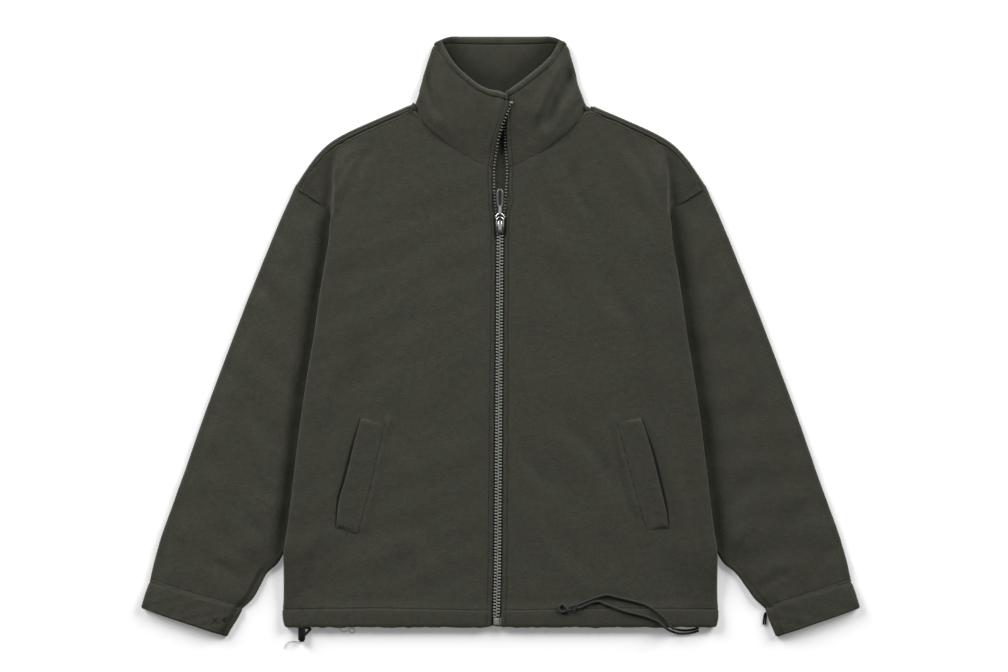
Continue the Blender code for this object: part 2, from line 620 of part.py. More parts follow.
def welt(name, side):
    """A pocket welt: the face of the front under it, moved out."""
    rows = path(WELTS[side], np.linspace(0, 1, 9))
    across = np.linspace(0, 1, 5)
    x = rows[:, None, 0] * (1 - across) + rows[:, None, 2] * across
    y = rows[:, None, 1] * (1 - across) + rows[:, None, 3] * across
    under = front_height(side * x, y, side)
    low = np.stack([side * x, y, under + 0.75], -1)
    raised = 2.3 + 0.5 * (1 - across)
    high = np.stack([side * x, y, under + raised], -1)
    loft(name, np.concatenate([low, high[:, ::-1]], axis=1), (FLEECE, 0.95))


# ---------------------------------------------------------------- zip


def strip(name, side, start, end, low, high, look, from_y, to_y):
    """A strip beside the free edge of a row of teeth, between two distances from it."""
    y = np.array([from_y] + [h for h in ZIP_HEIGHTS if from_y + 2 < h < to_y - 2] + [to_y])
    edge = zip_edge(y, side)
    corners = []
    for away, level in ((start, low), (end, low), (end, high), (start, high)):
        x = edge + side * away
        raised = collar_lap(y, side, x) * 5.6 / COLLAR_LAP
        corners.append(np.column_stack([x, y, level + raised]))
    loft(name, np.stack(corners, axis=1), look)


def zip_pieces():
    strip("zip_tape_right", -1, TAPE_IN, TAPE_OUT, 4.5, 5.3, (TAPE, 0.85), -389.0, 316.0)
    strip("zip_tape_left", 1, TAPE_IN, TAPE_OUT, 4.5, 5.3, (TAPE, 0.85), -389.0, 318.0)
    strip("zip_teeth_right", -1, 0.0, TEETH_WIDTH, 4.4, 7.4, (TEETH, 0.45), -379.5, 315.0)
    strip("zip_teeth_left", 1, 0.0, TEETH_WIDTH, 4.4, 7.4, (TEETH, 0.45), -379.5, 315.0)
    prism("zip_box", [(-9.6, -389.5), (-1.6, -389.5), (-1.4, -380.0), (-9.4, -380.0)], 4.35, 8.2, (TEETH, 0.4))

    centre = -0.7
    metal = (STEEL, 0.22, 1.0)
    plate = [(-4.9, 140), (-5.6, 147), (-6.2, 154), (-6.2, 158.5), (-4.4, 161.2), (-1.4, 160.2),
             (1.4, 160.2), (4.4, 161.2), (6.2, 158.5), (6.2, 154), (5.6, 147), (4.9, 140)]
    plate = [(centre + x, y) for x, y in plate]
    slider = prism("zip_slider", plate, 2.95, 4.1, metal)
    parts = [
        prism("slider_top", plate, 7.7, 9.1, None, where=HELPERS),
        prism("slider_post", [(centre - 0.9, 157.6), (centre, 155.6), (centre + 0.9, 157.6), (centre + 0.8, 160), (centre - 0.8, 160)],
              3.5, 8.4, None, where=HELPERS),
    ]
    arch = np.array([
        (141.3, 8.6), (141.3, 10.8), (142.8, 12.3), (145.5, 12.9), (153.5, 12.9), (156.2, 12.3), (157.7, 10.8), (157.7, 8.6),
        (156.1, 8.6), (156.1, 10.6), (155.0, 11.3), (144.0, 11.3), (142.9, 10.6), (142.9, 8.6),
    ])
    rings = [np.column_stack([np.full(len(arch), centre + x), arch]) for x in (-2.6, 2.6)]
    count = len(arch)
    faces = [(i, count + i, count + (i + 1) % count, (i + 1) % count) for i in range(count)]
    faces += [tuple(range(count)), tuple(range(count, 2 * count))[::-1]]
    parts.append(add_mesh("slider_bridge", np.vstack(rings), faces, None, where=HELPERS))
    for part in parts:
        combine(slider, part, "UNION")

    axis = (centre, SLIDER_Y, 10.2)
    right = [(5.0, -0.6), (5.4, 2), (5.5, 8), (5.4, 11.5), (4.4, 14.5), (2.9, 17), (2.6, 18.5), (2.6, 25),
             (3.6, 27), (4.9, 31), (5.5, 36), (5.5, 42), (5.0, 46), (3.6, 48.8), (1.4, 50)]
    outline = [(centre + x, SLIDER_Y + y) for x, y in right] + [(centre - x, SLIDER_Y + y) for x, y in right[::-1]]
    pull = prism("zip_pull", outline, 9.55, 10.85, metal, origin=axis)
    ring = [(3.8, 0.6), (3.9, 5), (3.7, 8), (2.4, 10.1), (0.8, 10.7)]
    hole = [(centre + x, SLIDER_Y + y) for x, y in ring] + [(centre - x, SLIDER_Y + y) for x, y in ring[::-1]]
    slot = [(1.8, 31), (1.8, 44), (1.0, 45.2)]
    cut = [(centre + x, SLIDER_Y + y) for x, y in slot] + [(centre - x, SLIDER_Y + y) for x, y in slot[::-1]]
    for title, shape in (("pull_ring", hole), ("pull_slot", cut)):
        combine(pull, prism(title, shape, 8.0, 12.5, None, where=HELPERS), "DIFFERENCE")


# ---------------------------------------------------------------- cords


def on_front(points, lift):
    """Points laid on the wearer's left front."""
    p = np.asarray(points, float)
    return np.column_stack([p, front_height(p[:, 0], p[:, 1], 1) + lift])


def cords():
    look = ((0.020, 0.020, 0.015, 1.0), 0.7)
    lift = 1.5 + 0.5
    long_floor = [(268.0, -393.4, 1.7), (260.0, -396.0, 1.7), (250.4, -397.2, 1.7), (242.0, -396.6, 2.6),
                  (236.6, -395.0, 6.6), (233.4, -394.0, 10.4), (229.6, -390.6, 12.3)]
    long_top = on_front([(223.4, -382.4), (209.9, -370.2), (196.4, -362.1), (178.9, -356.7), (155.9, -351.3),
                         (142.4, -348.4), (126.0, -353.0), (103.6, -362.0)], lift)
    cord("drawcord_long", np.vstack([long_floor, long_top]), 3.0, look)
    short_floor = [(268.0, -397.2, 1.7), (260.0, -399.8, 1.7), (250.4, -401.2, 1.7), (240.0, -401.0, 1.9),
                   (231.0, -398.0, 4.6), (226.2, -395.4, 9.2), (222.8, -392.8, 12.2), (219.0, -389.2, 12.2)]
    short_top = on_front([(212.0, -383.7), (192.4, -376.4), (165.4, -369.6), (142.4, -361.2), (128.8, -357.2),
                          (104.2, -366.6)], lift)
    cord("drawcord_short", np.vstack([short_floor, short_top]), 3.0, look)

    knot = np.array([95.6, -366.2])
    level = float(front_height(knot[:1], knot[1:], 1)[0]) + 0.5
    rings = []
    for share, girth in ((-1, 0.35), (-0.8, 0.72), (-0.4, 0.97), (0, 0.9), (0.4, 0.99), (0.8, 0.74), (1, 0.35)):
        angle = np.linspace(0, 2 * math.pi, 12, endpoint=False)
        along, across = 6.3 * share, 5.2 * girth * np.cos(angle)
        rings.append(np.column_stack([
            knot[0] + along * 0.93 - across * 0.37, knot[1] + along * 0.37 + across * 0.93,
            level + 3.9 + 3.6 * girth * np.sin(angle),
        ]))
    loft("cord_knot", rings, look)
    bight = on_front([(88.6, -365.2), (84.0, -361.6), (79.4, -363.4), (78.6, -368.0), (82.4, -371.2), (88.0, -370.6)], lift)
    cord("cord_bight", bight, 3.0, look, spacing=1.2)

    angle = np.linspace(0, 2 * math.pi, 16, endpoint=False)
    square = np.column_stack([np.sign(np.cos(angle)) * np.abs(np.cos(angle)) ** 0.55, np.sign(np.sin(angle)) * np.abs(np.sin(angle)) ** 0.55])
    rings = [
        np.column_stack([-268.6 + 4.75 * girth * square[:, 0], np.full(16, y), 4.4 + 4.1 * girth * square[:, 1]])
        for y, girth in ((-391.4, 0.80), (-392.4, 0.96), (-398, 1.0), (-407, 1.0), (-410.6, 0.92), (-412.2, 0.7))
    ]
    loft("cord_lock", rings, (BLACK, 0.35))
    cord("lock_cord", [(-262.3, -409.2, 4.2), (-259.6, -405.6, 2.4), (-254.8, -399.8, 1.6), (-250.6, -395.6, 1.6),
                       (-253.4, -392.6, 1.6), (-262.0, -392.6, 3.4)], 2.4, look, spacing=1.4)
    cord("cuff_cord", [(353.4, -391.0, 1.2), (354.8, -382.0, 1.2), (356.0, -376.4, 1.2), (359.2, -376.4, 1.2),
                       (359.6, -382.0, 1.2), (360.2, -390.4, 1.2)], 1.6, (BLACK, 0.6), spacing=1.6)


# ---------------------------------------------------------------- build

for old in list(bpy.data.objects):
    bpy.data.objects.remove(old)

JACKET = bpy.data.collections.new("fleece_zip_jacket")
HELPERS = bpy.data.collections.new("cutters")
bpy.context.scene.collection.children.link(JACKET)
bpy.context.scene.collection.children.link(HELPERS)

back_panel()
front_panel("front_right", -1)
front_panel("front_left", 1)
sleeve("sleeve_right", -1)
sleeve("sleeve_left", 1)
cuff("cuff_right", -1)
cuff("cuff_left", 1)
collar()
welt("welt_right", -1)
welt("welt_left", 1)
zip_pieces()
cords()

for helper in HELPERS.objects:
    helper.hide_render = True
    helper.display_type = "WIRE"
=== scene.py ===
# %% [markdown]
# # A fleece zip jacket, laid flat
#
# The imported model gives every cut-and-sewn piece as a plain solid. This script dresses it: each piece of
# cloth becomes a finer surface in the same place, with the seams, puckers and soft folds that fleece has,
# and the zip, cords and stitches get their small shapes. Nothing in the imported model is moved, and what is
# drawn leaves its solid by a few millimetres at most, where soft cloth rolls or stands up.
#
# The garment lies on its back, so +Z points out of its front, +Y to its collar and +X to the wearer's
# left. Lengths below are in millimetres and become metres only when a mesh is made.

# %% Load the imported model
import math

import bpy
import numpy as np
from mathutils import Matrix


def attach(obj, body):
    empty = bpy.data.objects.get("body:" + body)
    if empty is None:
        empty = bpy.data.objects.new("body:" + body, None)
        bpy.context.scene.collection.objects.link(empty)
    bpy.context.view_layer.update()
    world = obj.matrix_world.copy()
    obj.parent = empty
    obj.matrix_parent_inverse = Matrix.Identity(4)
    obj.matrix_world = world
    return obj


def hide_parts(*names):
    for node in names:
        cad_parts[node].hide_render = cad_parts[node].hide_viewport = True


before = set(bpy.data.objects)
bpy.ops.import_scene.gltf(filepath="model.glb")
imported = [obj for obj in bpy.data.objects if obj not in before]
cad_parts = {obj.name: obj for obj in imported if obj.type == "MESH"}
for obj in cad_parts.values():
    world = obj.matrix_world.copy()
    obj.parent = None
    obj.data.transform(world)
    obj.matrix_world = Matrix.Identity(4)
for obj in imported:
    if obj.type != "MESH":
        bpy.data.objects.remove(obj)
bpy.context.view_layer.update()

MM = 0.001

# %% [markdown]
# ## Camera, floor and light
#
# A garment for a shop is laid on white board and looked at straight down from a long way off, so a long
# lens does it: lines stay parallel and the sleeves don't splay. Two soft lamps stand low beyond the two
# shoulders. Each fold at the side of the body keeps one of them off the sleeve beside it, which gives the
# dark bands there, and both leave a short shadow below the hem and none above the shoulders. A weak third
# one overhead stops the shadows from closing up.

# %% Camera, floor and light
VIEW_WIDTH = 1.3608
VIEW_CENTRE = (0.0047, 0.0010)
LENS = 110.0
SENSOR = 36.0
CLOTH_LEVEL = 0.008
FLOOR_DROP = 0.0003
LAMPS = [
    # name, place in metres, side of the square, watts
    ("lamp_beyond_right_shoulder", (-4.5, 4.2, 2.6), 3.6, 655.0),
    ("lamp_beyond_left_shoulder", (4.5, 4.2, 2.6), 3.6, 600.0),
    ("ceiling_lamp", (0.0, 0.3, 3.0), 2.2, 6.0),
]


def camera():
    """Straight down; its distance from the cloth is the view's width times the lens over the sensor."""
    made = bpy.data.objects.new("camera", bpy.data.cameras.new("camera"))
    made.data.lens, made.data.sensor_width = LENS, SENSOR
    made.data.clip_end = 60.0
    made.location = (*VIEW_CENTRE, VIEW_WIDTH * LENS / SENSOR + CLOTH_LEVEL)
    bpy.context.scene.collection.objects.link(made)
    bpy.context.scene.camera = made


def soft_lamp(name, place, size, watts):
    """A square lamp at a place, turned so that its own -Z axis points at the middle of the garment."""
    light = bpy.data.lights.new(name, "AREA")
    light.size, light.energy = size, watts
    made = bpy.data.objects.new(name, light)
    made.location = place
    made.rotation_euler = (math.atan2(math.hypot(place[0], place[1]), place[2]), 0.0,
                           math.atan2(place[0], -place[1]))
    bpy.context.scene.collection.objects.link(made)


def floor():
    """A pale board lit a little from below, as a light table is, so that thin shadows wash out."""
    mesh = bpy.data.meshes.new("floor")
    mesh.from_pydata([(-6, -6, 0), (6, -6, 0), (6, 6, 0), (-6, 6, 0)], [], [(0, 1, 2, 3)])
    made = bpy.data.objects.new("floor", mesh)
    made.location.z = -FLOOR_DROP
    paint = bpy.data.materials.new("pale_board")
    paint.use_nodes = True
    shader = paint.node_tree.nodes["Principled BSDF"]
    shader.inputs["Base Color"].default_value = (0.86, 0.86, 0.86, 1.0)
    shader.inputs["Emission Color"].default_value = (1.0, 1.0, 1.0, 1.0)
    shader.inputs["Emission Strength"].default_value = 0.17
    shader.inputs["Roughness"].default_value = 0.9
    shader.inputs["Specular IOR Level"].default_value = 0.1
    mesh.materials.append(paint)
    bpy.context.scene.collection.objects.link(made)


camera()
floor()
for lamp in LAMPS:
    soft_lamp(*lamp)
world = bpy.data.worlds.new("bright_room")
world.use_nodes = True
world.node_tree.nodes["Background"].inputs["Color"].default_value = (0.97, 0.98, 1.0, 1.0)
world.node_tree.nodes["Background"].inputs["Strength"].default_value = 0.07
bpy.context.scene.world = world
bpy.context.scene.view_settings.view_transform = "Standard"
print("camera", tuple(round(c, 3) for c in bpy.context.scene.camera.location))

# %% [markdown]
# ## Small tools
#
# Everything that follows is a grid of points worked out with numpy. A few helpers are enough: a smooth
# step, a curve through points, a finer copy of a coarse grid, and one function that writes a mesh from
# arrays.

# %% Curves and steps


def smooth(t):
    """0 to 1 with level ends: 3t^2 - 2t^3, for any array."""
    t = np.clip(t, 0.0, 1.0)
    return t * t * (3.0 - 2.0 * t)


def hill(t):
    """1 at zero, falling off as exp(-t^2)."""
    return np.exp(-np.asarray(t) ** 2)


def read(table, at, column=1):
    """A column of a table at heights between its rows."""
    return np.interp(at, table[:, 0], table[:, column])


def path(points, fractions):
    """Points of a Catmull-Rom curve through the given ones, at fractions of its length."""
    p = np.asarray(points, float)
    p = np.vstack([2 * p[0] - p[1], p, 2 * p[-1] - p[-2]])
    t = np.linspace(0.0, 1.0, 13)[:-1, None]
    dense = [
        0.5 * (2 * b + (c - a) * t + (2 * a - 5 * b + 4 * c - d) * t ** 2
               + (3 * b - 3 * c + d - a) * t ** 3)
        for a, b, c, d in zip(p[:-3], p[1:-2], p[2:-1], p[3:])
    ]
    dense = np.vstack(dense + [p[-2:-1]])
    length = np.append(0.0, np.cumsum(np.linalg.norm(np.diff(dense, axis=0), axis=1)))
    at = np.asarray(fractions) * length[-1]
    return np.stack([np.interp(at, length, dense[:, k]) for k in range(dense.shape[1])], -1)


def run_of(points):
    """Distance along a row of points."""
    return np.append(0.0, np.cumsum(np.linalg.norm(np.diff(points, axis=0), axis=1)))


def unit(ways):
    """The same ways, each one long."""
    return ways / np.maximum(np.linalg.norm(ways, axis=-1, keepdims=True), 1e-9)


def ripple(t, seed, shortest, longest, waves=7):
    """An uneven wave: a sum of sines whose lengths and phases are drawn once from a seed."""
    draw = np.random.default_rng(seed)
    lengths, phases = draw.uniform(shortest, longest, waves), draw.uniform(0, 2 * math.pi, waves)
    t = np.asarray(t, float)
    return sum(np.sin(2 * math.pi * t / w + p) for w, p in zip(lengths, phases)) / math.sqrt(waves)


def billow(x, y, seed, shortest, longest, waves=9):
    """An uneven sea: the same sum with each wave crossing the cloth in its own direction."""
    draw = np.random.default_rng(seed)
    total = 0.0
    for _ in range(waves):
        length = draw.uniform(shortest, longest)
        way, phase = draw.uniform(0, math.pi), draw.uniform(0, 6.28)
        total = total + np.sin(2 * math.pi * (x * math.cos(way) + y * math.sin(way)) / length + phase)
    return total / math.sqrt(waves)


# %% A finer copy of a grid


def spline(values, knots, at):
    """A cubic through rows at uneven knots; each slope is that of the parabola through its neighbours."""
    h = np.diff(knots)
    way = np.diff(values, axis=0) / h[:, None, None]
    slope = np.empty_like(values)
    before, after = h[:-1, None, None], h[1:, None, None]
    slope[1:-1] = (after * way[:-1] + before * way[1:]) / (before + after)
    slope[0], slope[-1] = way[0], way[-1]
    k = np.clip(np.searchsorted(knots, at, side="right") - 1, 0, len(h) - 1)
    gap = h[k][:, None, None]
    t = ((at - knots[k]) / h[k])[:, None, None]
    return (values[k] * (1 + 2 * t) * (1 - t) ** 2 + values[k + 1] * t ** 2 * (3 - 2 * t)
            + gap * slope[k] * t * (1 - t) ** 2 - gap * slope[k + 1] * t ** 2 * (1 - t))


def places(knots, step, lines):
    """Every knot, fills no more than a step apart, and seven close lines round each line of stitches."""
    fills = np.ceil(np.diff(knots) / step).astype(int).clip(1)
    parts = [a + (b - a) * np.arange(n) / n for a, b, n in zip(knots[:-1], knots[1:], fills)]
    close = [line + np.array([-2.0, -1.2, -0.5, 0.0, 0.5, 1.2, 2.0]) for line in lines]
    at = np.unique(np.concatenate(parts + close).round(3))
    at = at[(at >= knots[0]) & (at < knots[-1] - 0.15)]
    return np.append(at[np.append(True, np.diff(at) > 0.12)], knots[-1])


def mean_run(grid):
    """Distance along the rows of a grid, the mean over its columns."""
    return np.append(0.0, np.cumsum(np.linalg.norm(np.diff(grid, axis=0), axis=2).mean(axis=1)))


def refine(grid, step, row_lines=(), column_lines=(), ring=False):
    """The same surface on closer lines, with each line's distance along it and the full distances.

    A line of stitches with a negative place is counted from the far end."""
    def spread(block, lines, wrap):
        if wrap:
            block = np.concatenate([block[-2:], block, block[:3]])
        knots = mean_run(block)
        if wrap:
            knots = knots - knots[2]
        first, last = (knots[2], knots[-3]) if wrap else (knots[0], knots[-1])
        inside = knots[(knots >= first - 1e-9) & (knots <= last + 1e-9)]
        at = places(inside, step, [line if line >= 0 else last + line for line in lines])
        at = at[:-1] if wrap else at
        return spline(block, knots, at), at, last
    fine, rows, height = spread(grid, row_lines, False)
    fine, columns, width = spread(fine.transpose(1, 0, 2), column_lines, ring)
    return fine.transpose(1, 0, 2), rows[:, None], columns[None, :], height, width


def normals(grid, ring=False):
    """Unit normals: across the ways along a column and along a row."""
    along = np.gradient(grid, axis=0)
    across = (np.roll(grid, -1, 1) - np.roll(grid, 1, 1)) / 2 if ring else np.gradient(grid, axis=1)
    return unit(np.cross(along, across))


# %% Meshes from arrays


def write_mesh(name, points, faces, look, body="garment", seam=None, uv=None):
    """A piece from points in millimetres and arrays of faces, each array with its own number of corners."""
    faces = [np.asarray(f, np.int64) for f in faces if len(f)]
    corners = np.concatenate([f.ravel() for f in faces])
    used, corners = np.unique(corners, return_inverse=True)
    sizes = np.concatenate([np.full(len(f), f.shape[1]) for f in faces])
    mesh = bpy.data.meshes.new(name)
    mesh.vertices.add(len(used))
    mesh.vertices.foreach_set("co", (np.asarray(points, float)[used] * MM).ravel())
    mesh.loops.add(len(corners))
    mesh.loops.foreach_set("vertex_index", corners.ravel().astype(np.int32))
    mesh.polygons.add(len(sizes))
    mesh.polygons.foreach_set("loop_start", np.append(0, np.cumsum(sizes)[:-1]).astype(np.int32))
    mesh.polygons.foreach_set("use_smooth", np.ones(len(sizes), bool))
    # the "seam" value darkens the cloth: pressed pile along stitched lines, and painted shade in a few
    # places
    if seam is not None:
        marks = mesh.attributes.new("seam", "FLOAT", "POINT")
        marks.data.foreach_set("value", np.asarray(seam, np.float32)[used])
    if uv is not None:
        layer = mesh.uv_layers.new(name="cord")
        layer.data.foreach_set("uv", np.asarray(uv, np.float32)[used][corners].ravel())
    mesh.update(calc_edges=True)
    mesh.set_sharp_from_angle(angle=math.radians(55))
    mesh.materials.append(look)
    made = bpy.data.objects.new(name, mesh)
    bpy.context.scene.collection.objects.link(made)
    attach(made, body)
    print(f"{name}: {sum((f.shape[1] - 2) * len(f) for f in faces)} triangles")
    return made


def grid_quads(rows, columns, ring=False, keep=None):
    """Four corners of every cell of a grid, row by row."""
    index = np.arange(rows * columns).reshape(rows, columns)
    if ring:
        index = np.hstack([index, index[:, :1]])
    quads = np.stack([index[:-1, :-1], index[:-1, 1:], index[1:, 1:], index[1:, :-1]], -1)
    return quads.reshape(-1, 4) if keep is None else quads[keep]


def cloth(name, outer, inner, look, ring=False, keep=None, turn=False, seam=None):
    """Two faces of one cloth: the outer grid, the inner one turned over, and a rim along each free edge."""
    rows, columns = outer.shape[:2]
    quads = grid_quads(rows, columns, ring, keep)
    if turn:
        quads = quads[:, ::-1]
    edges = np.stack([quads, np.roll(quads, -1, axis=1)], -1).reshape(-1, 2)
    n = rows * columns
    _, first, count = np.unique(np.sort(edges, axis=1) @ [n, 1], return_index=True, return_counts=True)
    a, b = edges[first[count == 1]].T
    faces = np.vstack([quads, quads[:, ::-1] + n, np.column_stack([b, a, a + n, b + n])])
    seam = np.zeros((rows, columns)) if seam is None else seam
    return write_mesh(name, np.vstack([outer.reshape(-1, 3), inner.reshape(-1, 3)]), [faces], look,
                      seam=np.tile(np.broadcast_to(seam, (rows, columns)).ravel(), 2))


def tube_mesh(rings):
    """Points and faces of a closed tube through rings of one size, with a fan of triangles at each end."""
    rings = np.asarray(rings, float)
    count, around = rings.shape[:2]
    points = np.vstack([rings.reshape(-1, 3), rings[0].mean(axis=0), rings[-1].mean(axis=0)])
    ring = np.arange(around)
    first = np.column_stack([ring, np.roll(ring, -1), np.full(around, count * around)])
    last = np.column_stack([np.roll(ring, -1), ring, np.full(around, count * around + 1)])
    last[:, :2] += (count - 1) * around
    quads = grid_quads(count, around, ring=True)
    a, b, c = points[first[0]]
    inward = np.dot(np.cross(b - a, c - a), rings[1].mean(axis=0) - rings[0].mean(axis=0)) > 0
    if inward:
        return points, [quads, first[:, ::-1], last[:, ::-1]]
    return points, [quads[:, ::-1], first, last]


def together(parts):
    """Several tubes as one set of points and faces."""
    points, groups, n = [], [], 0
    for some, faces in parts:
        points.append(some)
        groups += [f + n for f in faces]
        n += len(some)
    return np.vstack(points), groups


# %% [markdown]
# ## Finishes
#
# Fleece is a knit whose loops are brushed and shorn: short curled pile, matt, a little paler where fibres
# stand on end. Several sizes of noise make it (fibres, tufts, and broad wear), with a soft sheen for the
# fibre tips that catch light at grazing angles. Where the pile is pressed down along stitched lines it is
# darker; the same darkening is painted shade inside the collar, along the side folds' edges towards the
# shoulders, and along the edge where a sleeve's under layer shows. Each mesh carries a "seam" value that
# says where and how much. The jacket is also a trace darker towards the wearer's left. Everything reads
# Object coordinates, so nothing slides.

# %% Node helpers


class Recipe:
    """A material's nodes, joined as they are made: noise, spans, sums, mixes and bumps."""

    def __init__(self, name):
        self.made = bpy.data.materials.new(name)
        self.made.use_nodes = True
        self.tree = self.made.node_tree
        self.shader = self.tree.nodes["Principled BSDF"]
        self.place = self.node("ShaderNodeTexCoord").outputs["Object"]

    def node(self, kind, **settings):
        made = self.tree.nodes.new(kind)
        for key, value in settings.items():
            setattr(made, key, value)
        return made

    def link(self, source, socket):
        if isinstance(source, (int, float, tuple)):
            socket.default_value = source
        else:
            self.tree.links.new(source, socket)

    def plug(self, made, **values):
        for key, value in values.items():
            self.link(value, made.inputs[key.replace("_", " ")])
        return made

    def noise(self, scale, detail=2.0, rough=0.5, stretch=(1.0, 1.0, 1.0), twist=0.0):
        turned = self.plug(self.node("ShaderNodeMapping"), Scale=stretch, Vector=self.place)
        made = self.plug(self.node("ShaderNodeTexNoise"), Scale=scale, Detail=detail, Roughness=rough,
                         Distortion=twist, Vector=turned.outputs["Vector"])
        return made.outputs["Fac"]

    def span(self, source, low, high, to_low=0.0, to_high=1.0):
        made = self.node("ShaderNodeMapRange")
        for socket, value in zip(list(made.inputs)[:5], (source, low, high, to_low, to_high)):
            self.link(value, socket)
        return made.outputs["Result"]

    def sum(self, operation, a, b):
        made = self.node("ShaderNodeMath", operation=operation)
        self.link(a, made.inputs[0])
        self.link(b, made.inputs[1])
        return made.outputs[0]

    def mix(self, share, a, b):
        made = self.plug(self.node("ShaderNodeMix", data_type="RGBA"), Factor=share, A=a, B=b)
        return made.outputs["Result"]

    def bump(self, height, distance, strength=1.0, below=None):
        made = self.plug(self.node("ShaderNodeBump"), Strength=strength, Distance=distance, Height=height)
        if below is not None:
            self.link(below, made.inputs["Normal"])
        return made.outputs["Normal"]

    def set(self, **values):
        self.plug(self.shader, **values)
        return self.made


def tint(colour, times):
    """A colour made darker or paler by a factor."""
    return tuple(min(1.0, c * times) for c in colour[:3]) + (1.0,)


# %% Fleece
OLIVE = (0.0365, 0.0375, 0.0275, 1.0)
OLIVE_BROWN = (0.0415, 0.0388, 0.0290, 1.0)
LINT_GREY = (0.30, 0.30, 0.26, 1.0)
# a darker tint of the cloth, for pressed pile along stitches and for painted shade
PRESSED_AND_SHADE_TINT = 0.34


def fleece(name, colour, warm):
    """Brushed pile: fibres under 1 mm, tufts of 3 to 5 mm, and patches of some centimetres.

    The colour runs from 0.60 to 1.42 of its own with the sum of the noises; lint is the highest peaks of
    one more; the "seam" value (pressed pile at stitches, and painted shade) and the way across the garment
    then draw it to a darker tint of its own."""
    made = Recipe(name)
    fibres = made.noise(1150, 3.0, 0.62)
    tufts = made.noise(300, 2.0, 0.55, twist=1.4)
    grain = made.noise(420, 2.0, 0.6, stretch=(1.0, 0.22, 1.0))
    mottle = made.noise(115, 2.0, 0.5)
    patches = made.noise(21, 3.0, 0.55)
    seam = made.node("ShaderNodeAttribute", attribute_name="seam").outputs["Fac"]
    body = made.mix(made.span(patches, 0.34, 0.68), colour, warm)
    shade = made.sum("ADD", made.span(fibres, 0.30, 0.72, -0.20, 0.20),
                     made.span(tufts, 0.30, 0.70, -0.20, 0.20))
    shade = made.sum("ADD", shade, made.span(mottle, 0.30, 0.70, -0.10, 0.10))
    shade = made.sum("ADD", shade, made.span(grain, 0.32, 0.68, -0.06, 0.06))
    pale = made.span(shade, -0.40, 0.40, 0.0, 1.0)
    look = made.mix(pale, tint(colour, 0.60), tint(colour, 1.42))
    look = made.mix(0.62, body, look)
    lint = made.span(made.noise(640, 1.0, 0.5), 0.755, 0.80)
    look = made.mix(made.sum("MULTIPLY", lint, 0.30), look, LINT_GREY)
    # the "seam" value: pressed pile at stitched lines, and painted shade inside the collar, by the side
    # folds and along the sleeves' under layer
    look = made.mix(made.span(seam, 0.0, 2.0, 0.0, 0.90), look, tint(colour, PRESSED_AND_SHADE_TINT))
    apart = made.plug(made.node("ShaderNodeSeparateXYZ"), Vector=made.place)
    look = made.mix(made.span(apart.outputs["X"], -0.25, 0.35, 0.0, 0.16), look, tint(colour, PRESSED_AND_SHADE_TINT))
    lumps = made.bump(tufts, 0.0009, 0.85)
    pile = made.bump(fibres, 0.0005, 0.9, lumps)
    return made.set(Base_Color=look, Roughness=0.96, Specular_IOR_Level=0.18, Sheen_Weight=0.36,
                    Sheen_Roughness=0.45, Sheen_Tint=(0.62, 0.62, 0.50, 1.0), Normal=pile)


FLEECE = fleece("olive_fleece", OLIVE, OLIVE_BROWN)
print("finish", FLEECE.name)

# %% Cord, plastic, metal, tape and thread


def braided_cord(name, colour):
    """Sixteen strands over and under: diagonal bands both ways round the cord, read from its own UV."""
    made = Recipe(name)
    layer = made.node("ShaderNodeUVMap", uv_map="cord").outputs["UV"]
    apart = made.plug(made.node("ShaderNodeSeparateXYZ"), Vector=layer)
    rising = made.sum("SINE", made.sum("ADD", apart.outputs["X"], apart.outputs["Y"]), 0.0)
    falling = made.sum("SINE", made.sum("SUBTRACT", apart.outputs["X"], apart.outputs["Y"]), 0.0)
    weave = made.sum("MAXIMUM", rising, falling)
    look = made.mix(made.span(weave, -0.2, 1.0), tint(colour, 0.35), tint(colour, 1.6))
    fuzz = made.noise(2600, 2.0, 0.6)
    return made.set(Base_Color=look, Roughness=0.72, Sheen_Weight=0.12, Specular_IOR_Level=0.35,
                    Normal=made.bump(fuzz, 0.00012, 0.6, made.bump(weave, 0.00022, 0.8)))


def moulded(name, colour, rough, grain=900, shine=0.5):
    """Injection-moulded plastic: nearly even colour, a fine tool grain, and rubbed patches that shine."""
    made = Recipe(name)
    skin, rub = made.noise(grain, 2.0), made.noise(140, 3.0, 0.6)
    look = made.mix(made.span(rub, 0.35, 0.7), tint(colour, 0.85), tint(colour, 1.18))
    return made.set(Base_Color=look, Roughness=made.span(rub, 0.3, 0.7, rough - 0.07, rough + 0.10),
                    Specular_IOR_Level=shine, Normal=made.bump(skin, 0.00004, 0.5))


def cast_metal(name, colour, rough):
    """Tumbled and plated zinc: bright, with faint scratches and duller hollows."""
    made = Recipe(name)
    scratch, dull = made.noise(1500, 2.0, 0.6, stretch=(1.0, 0.12, 1.0)), made.noise(320, 3.0, 0.6)
    look = made.mix(made.span(dull, 0.35, 0.70), tint(colour, 0.72), colour)
    return made.set(Base_Color=look, Metallic=1.0, Roughness=made.span(dull, 0.3, 0.7, rough + 0.12, rough),
                    Normal=made.bump(scratch, 0.00003, 0.35))


def woven_tape(name, colour):
    """Zip tape: weft ribs across it 2.5 mm apart, over a fine warp."""
    made = Recipe(name)
    ribs = made.plug(made.node("ShaderNodeTexWave", wave_type="BANDS", bands_direction="Y"), Scale=125.0,
                     Distortion=0.5, Detail=1.0, Vector=made.place)
    warp = made.noise(1700, 2.0, 0.5, stretch=(1.0, 0.2, 1.0))
    look = made.mix(ribs.outputs["Fac"], tint(colour, 0.45), tint(colour, 1.35))
    return made.set(Base_Color=look, Roughness=0.82, Specular_IOR_Level=0.3,
                    Normal=made.bump(warp, 0.0001, 0.6, made.bump(ribs.outputs["Fac"], 0.00035, 0.9)))


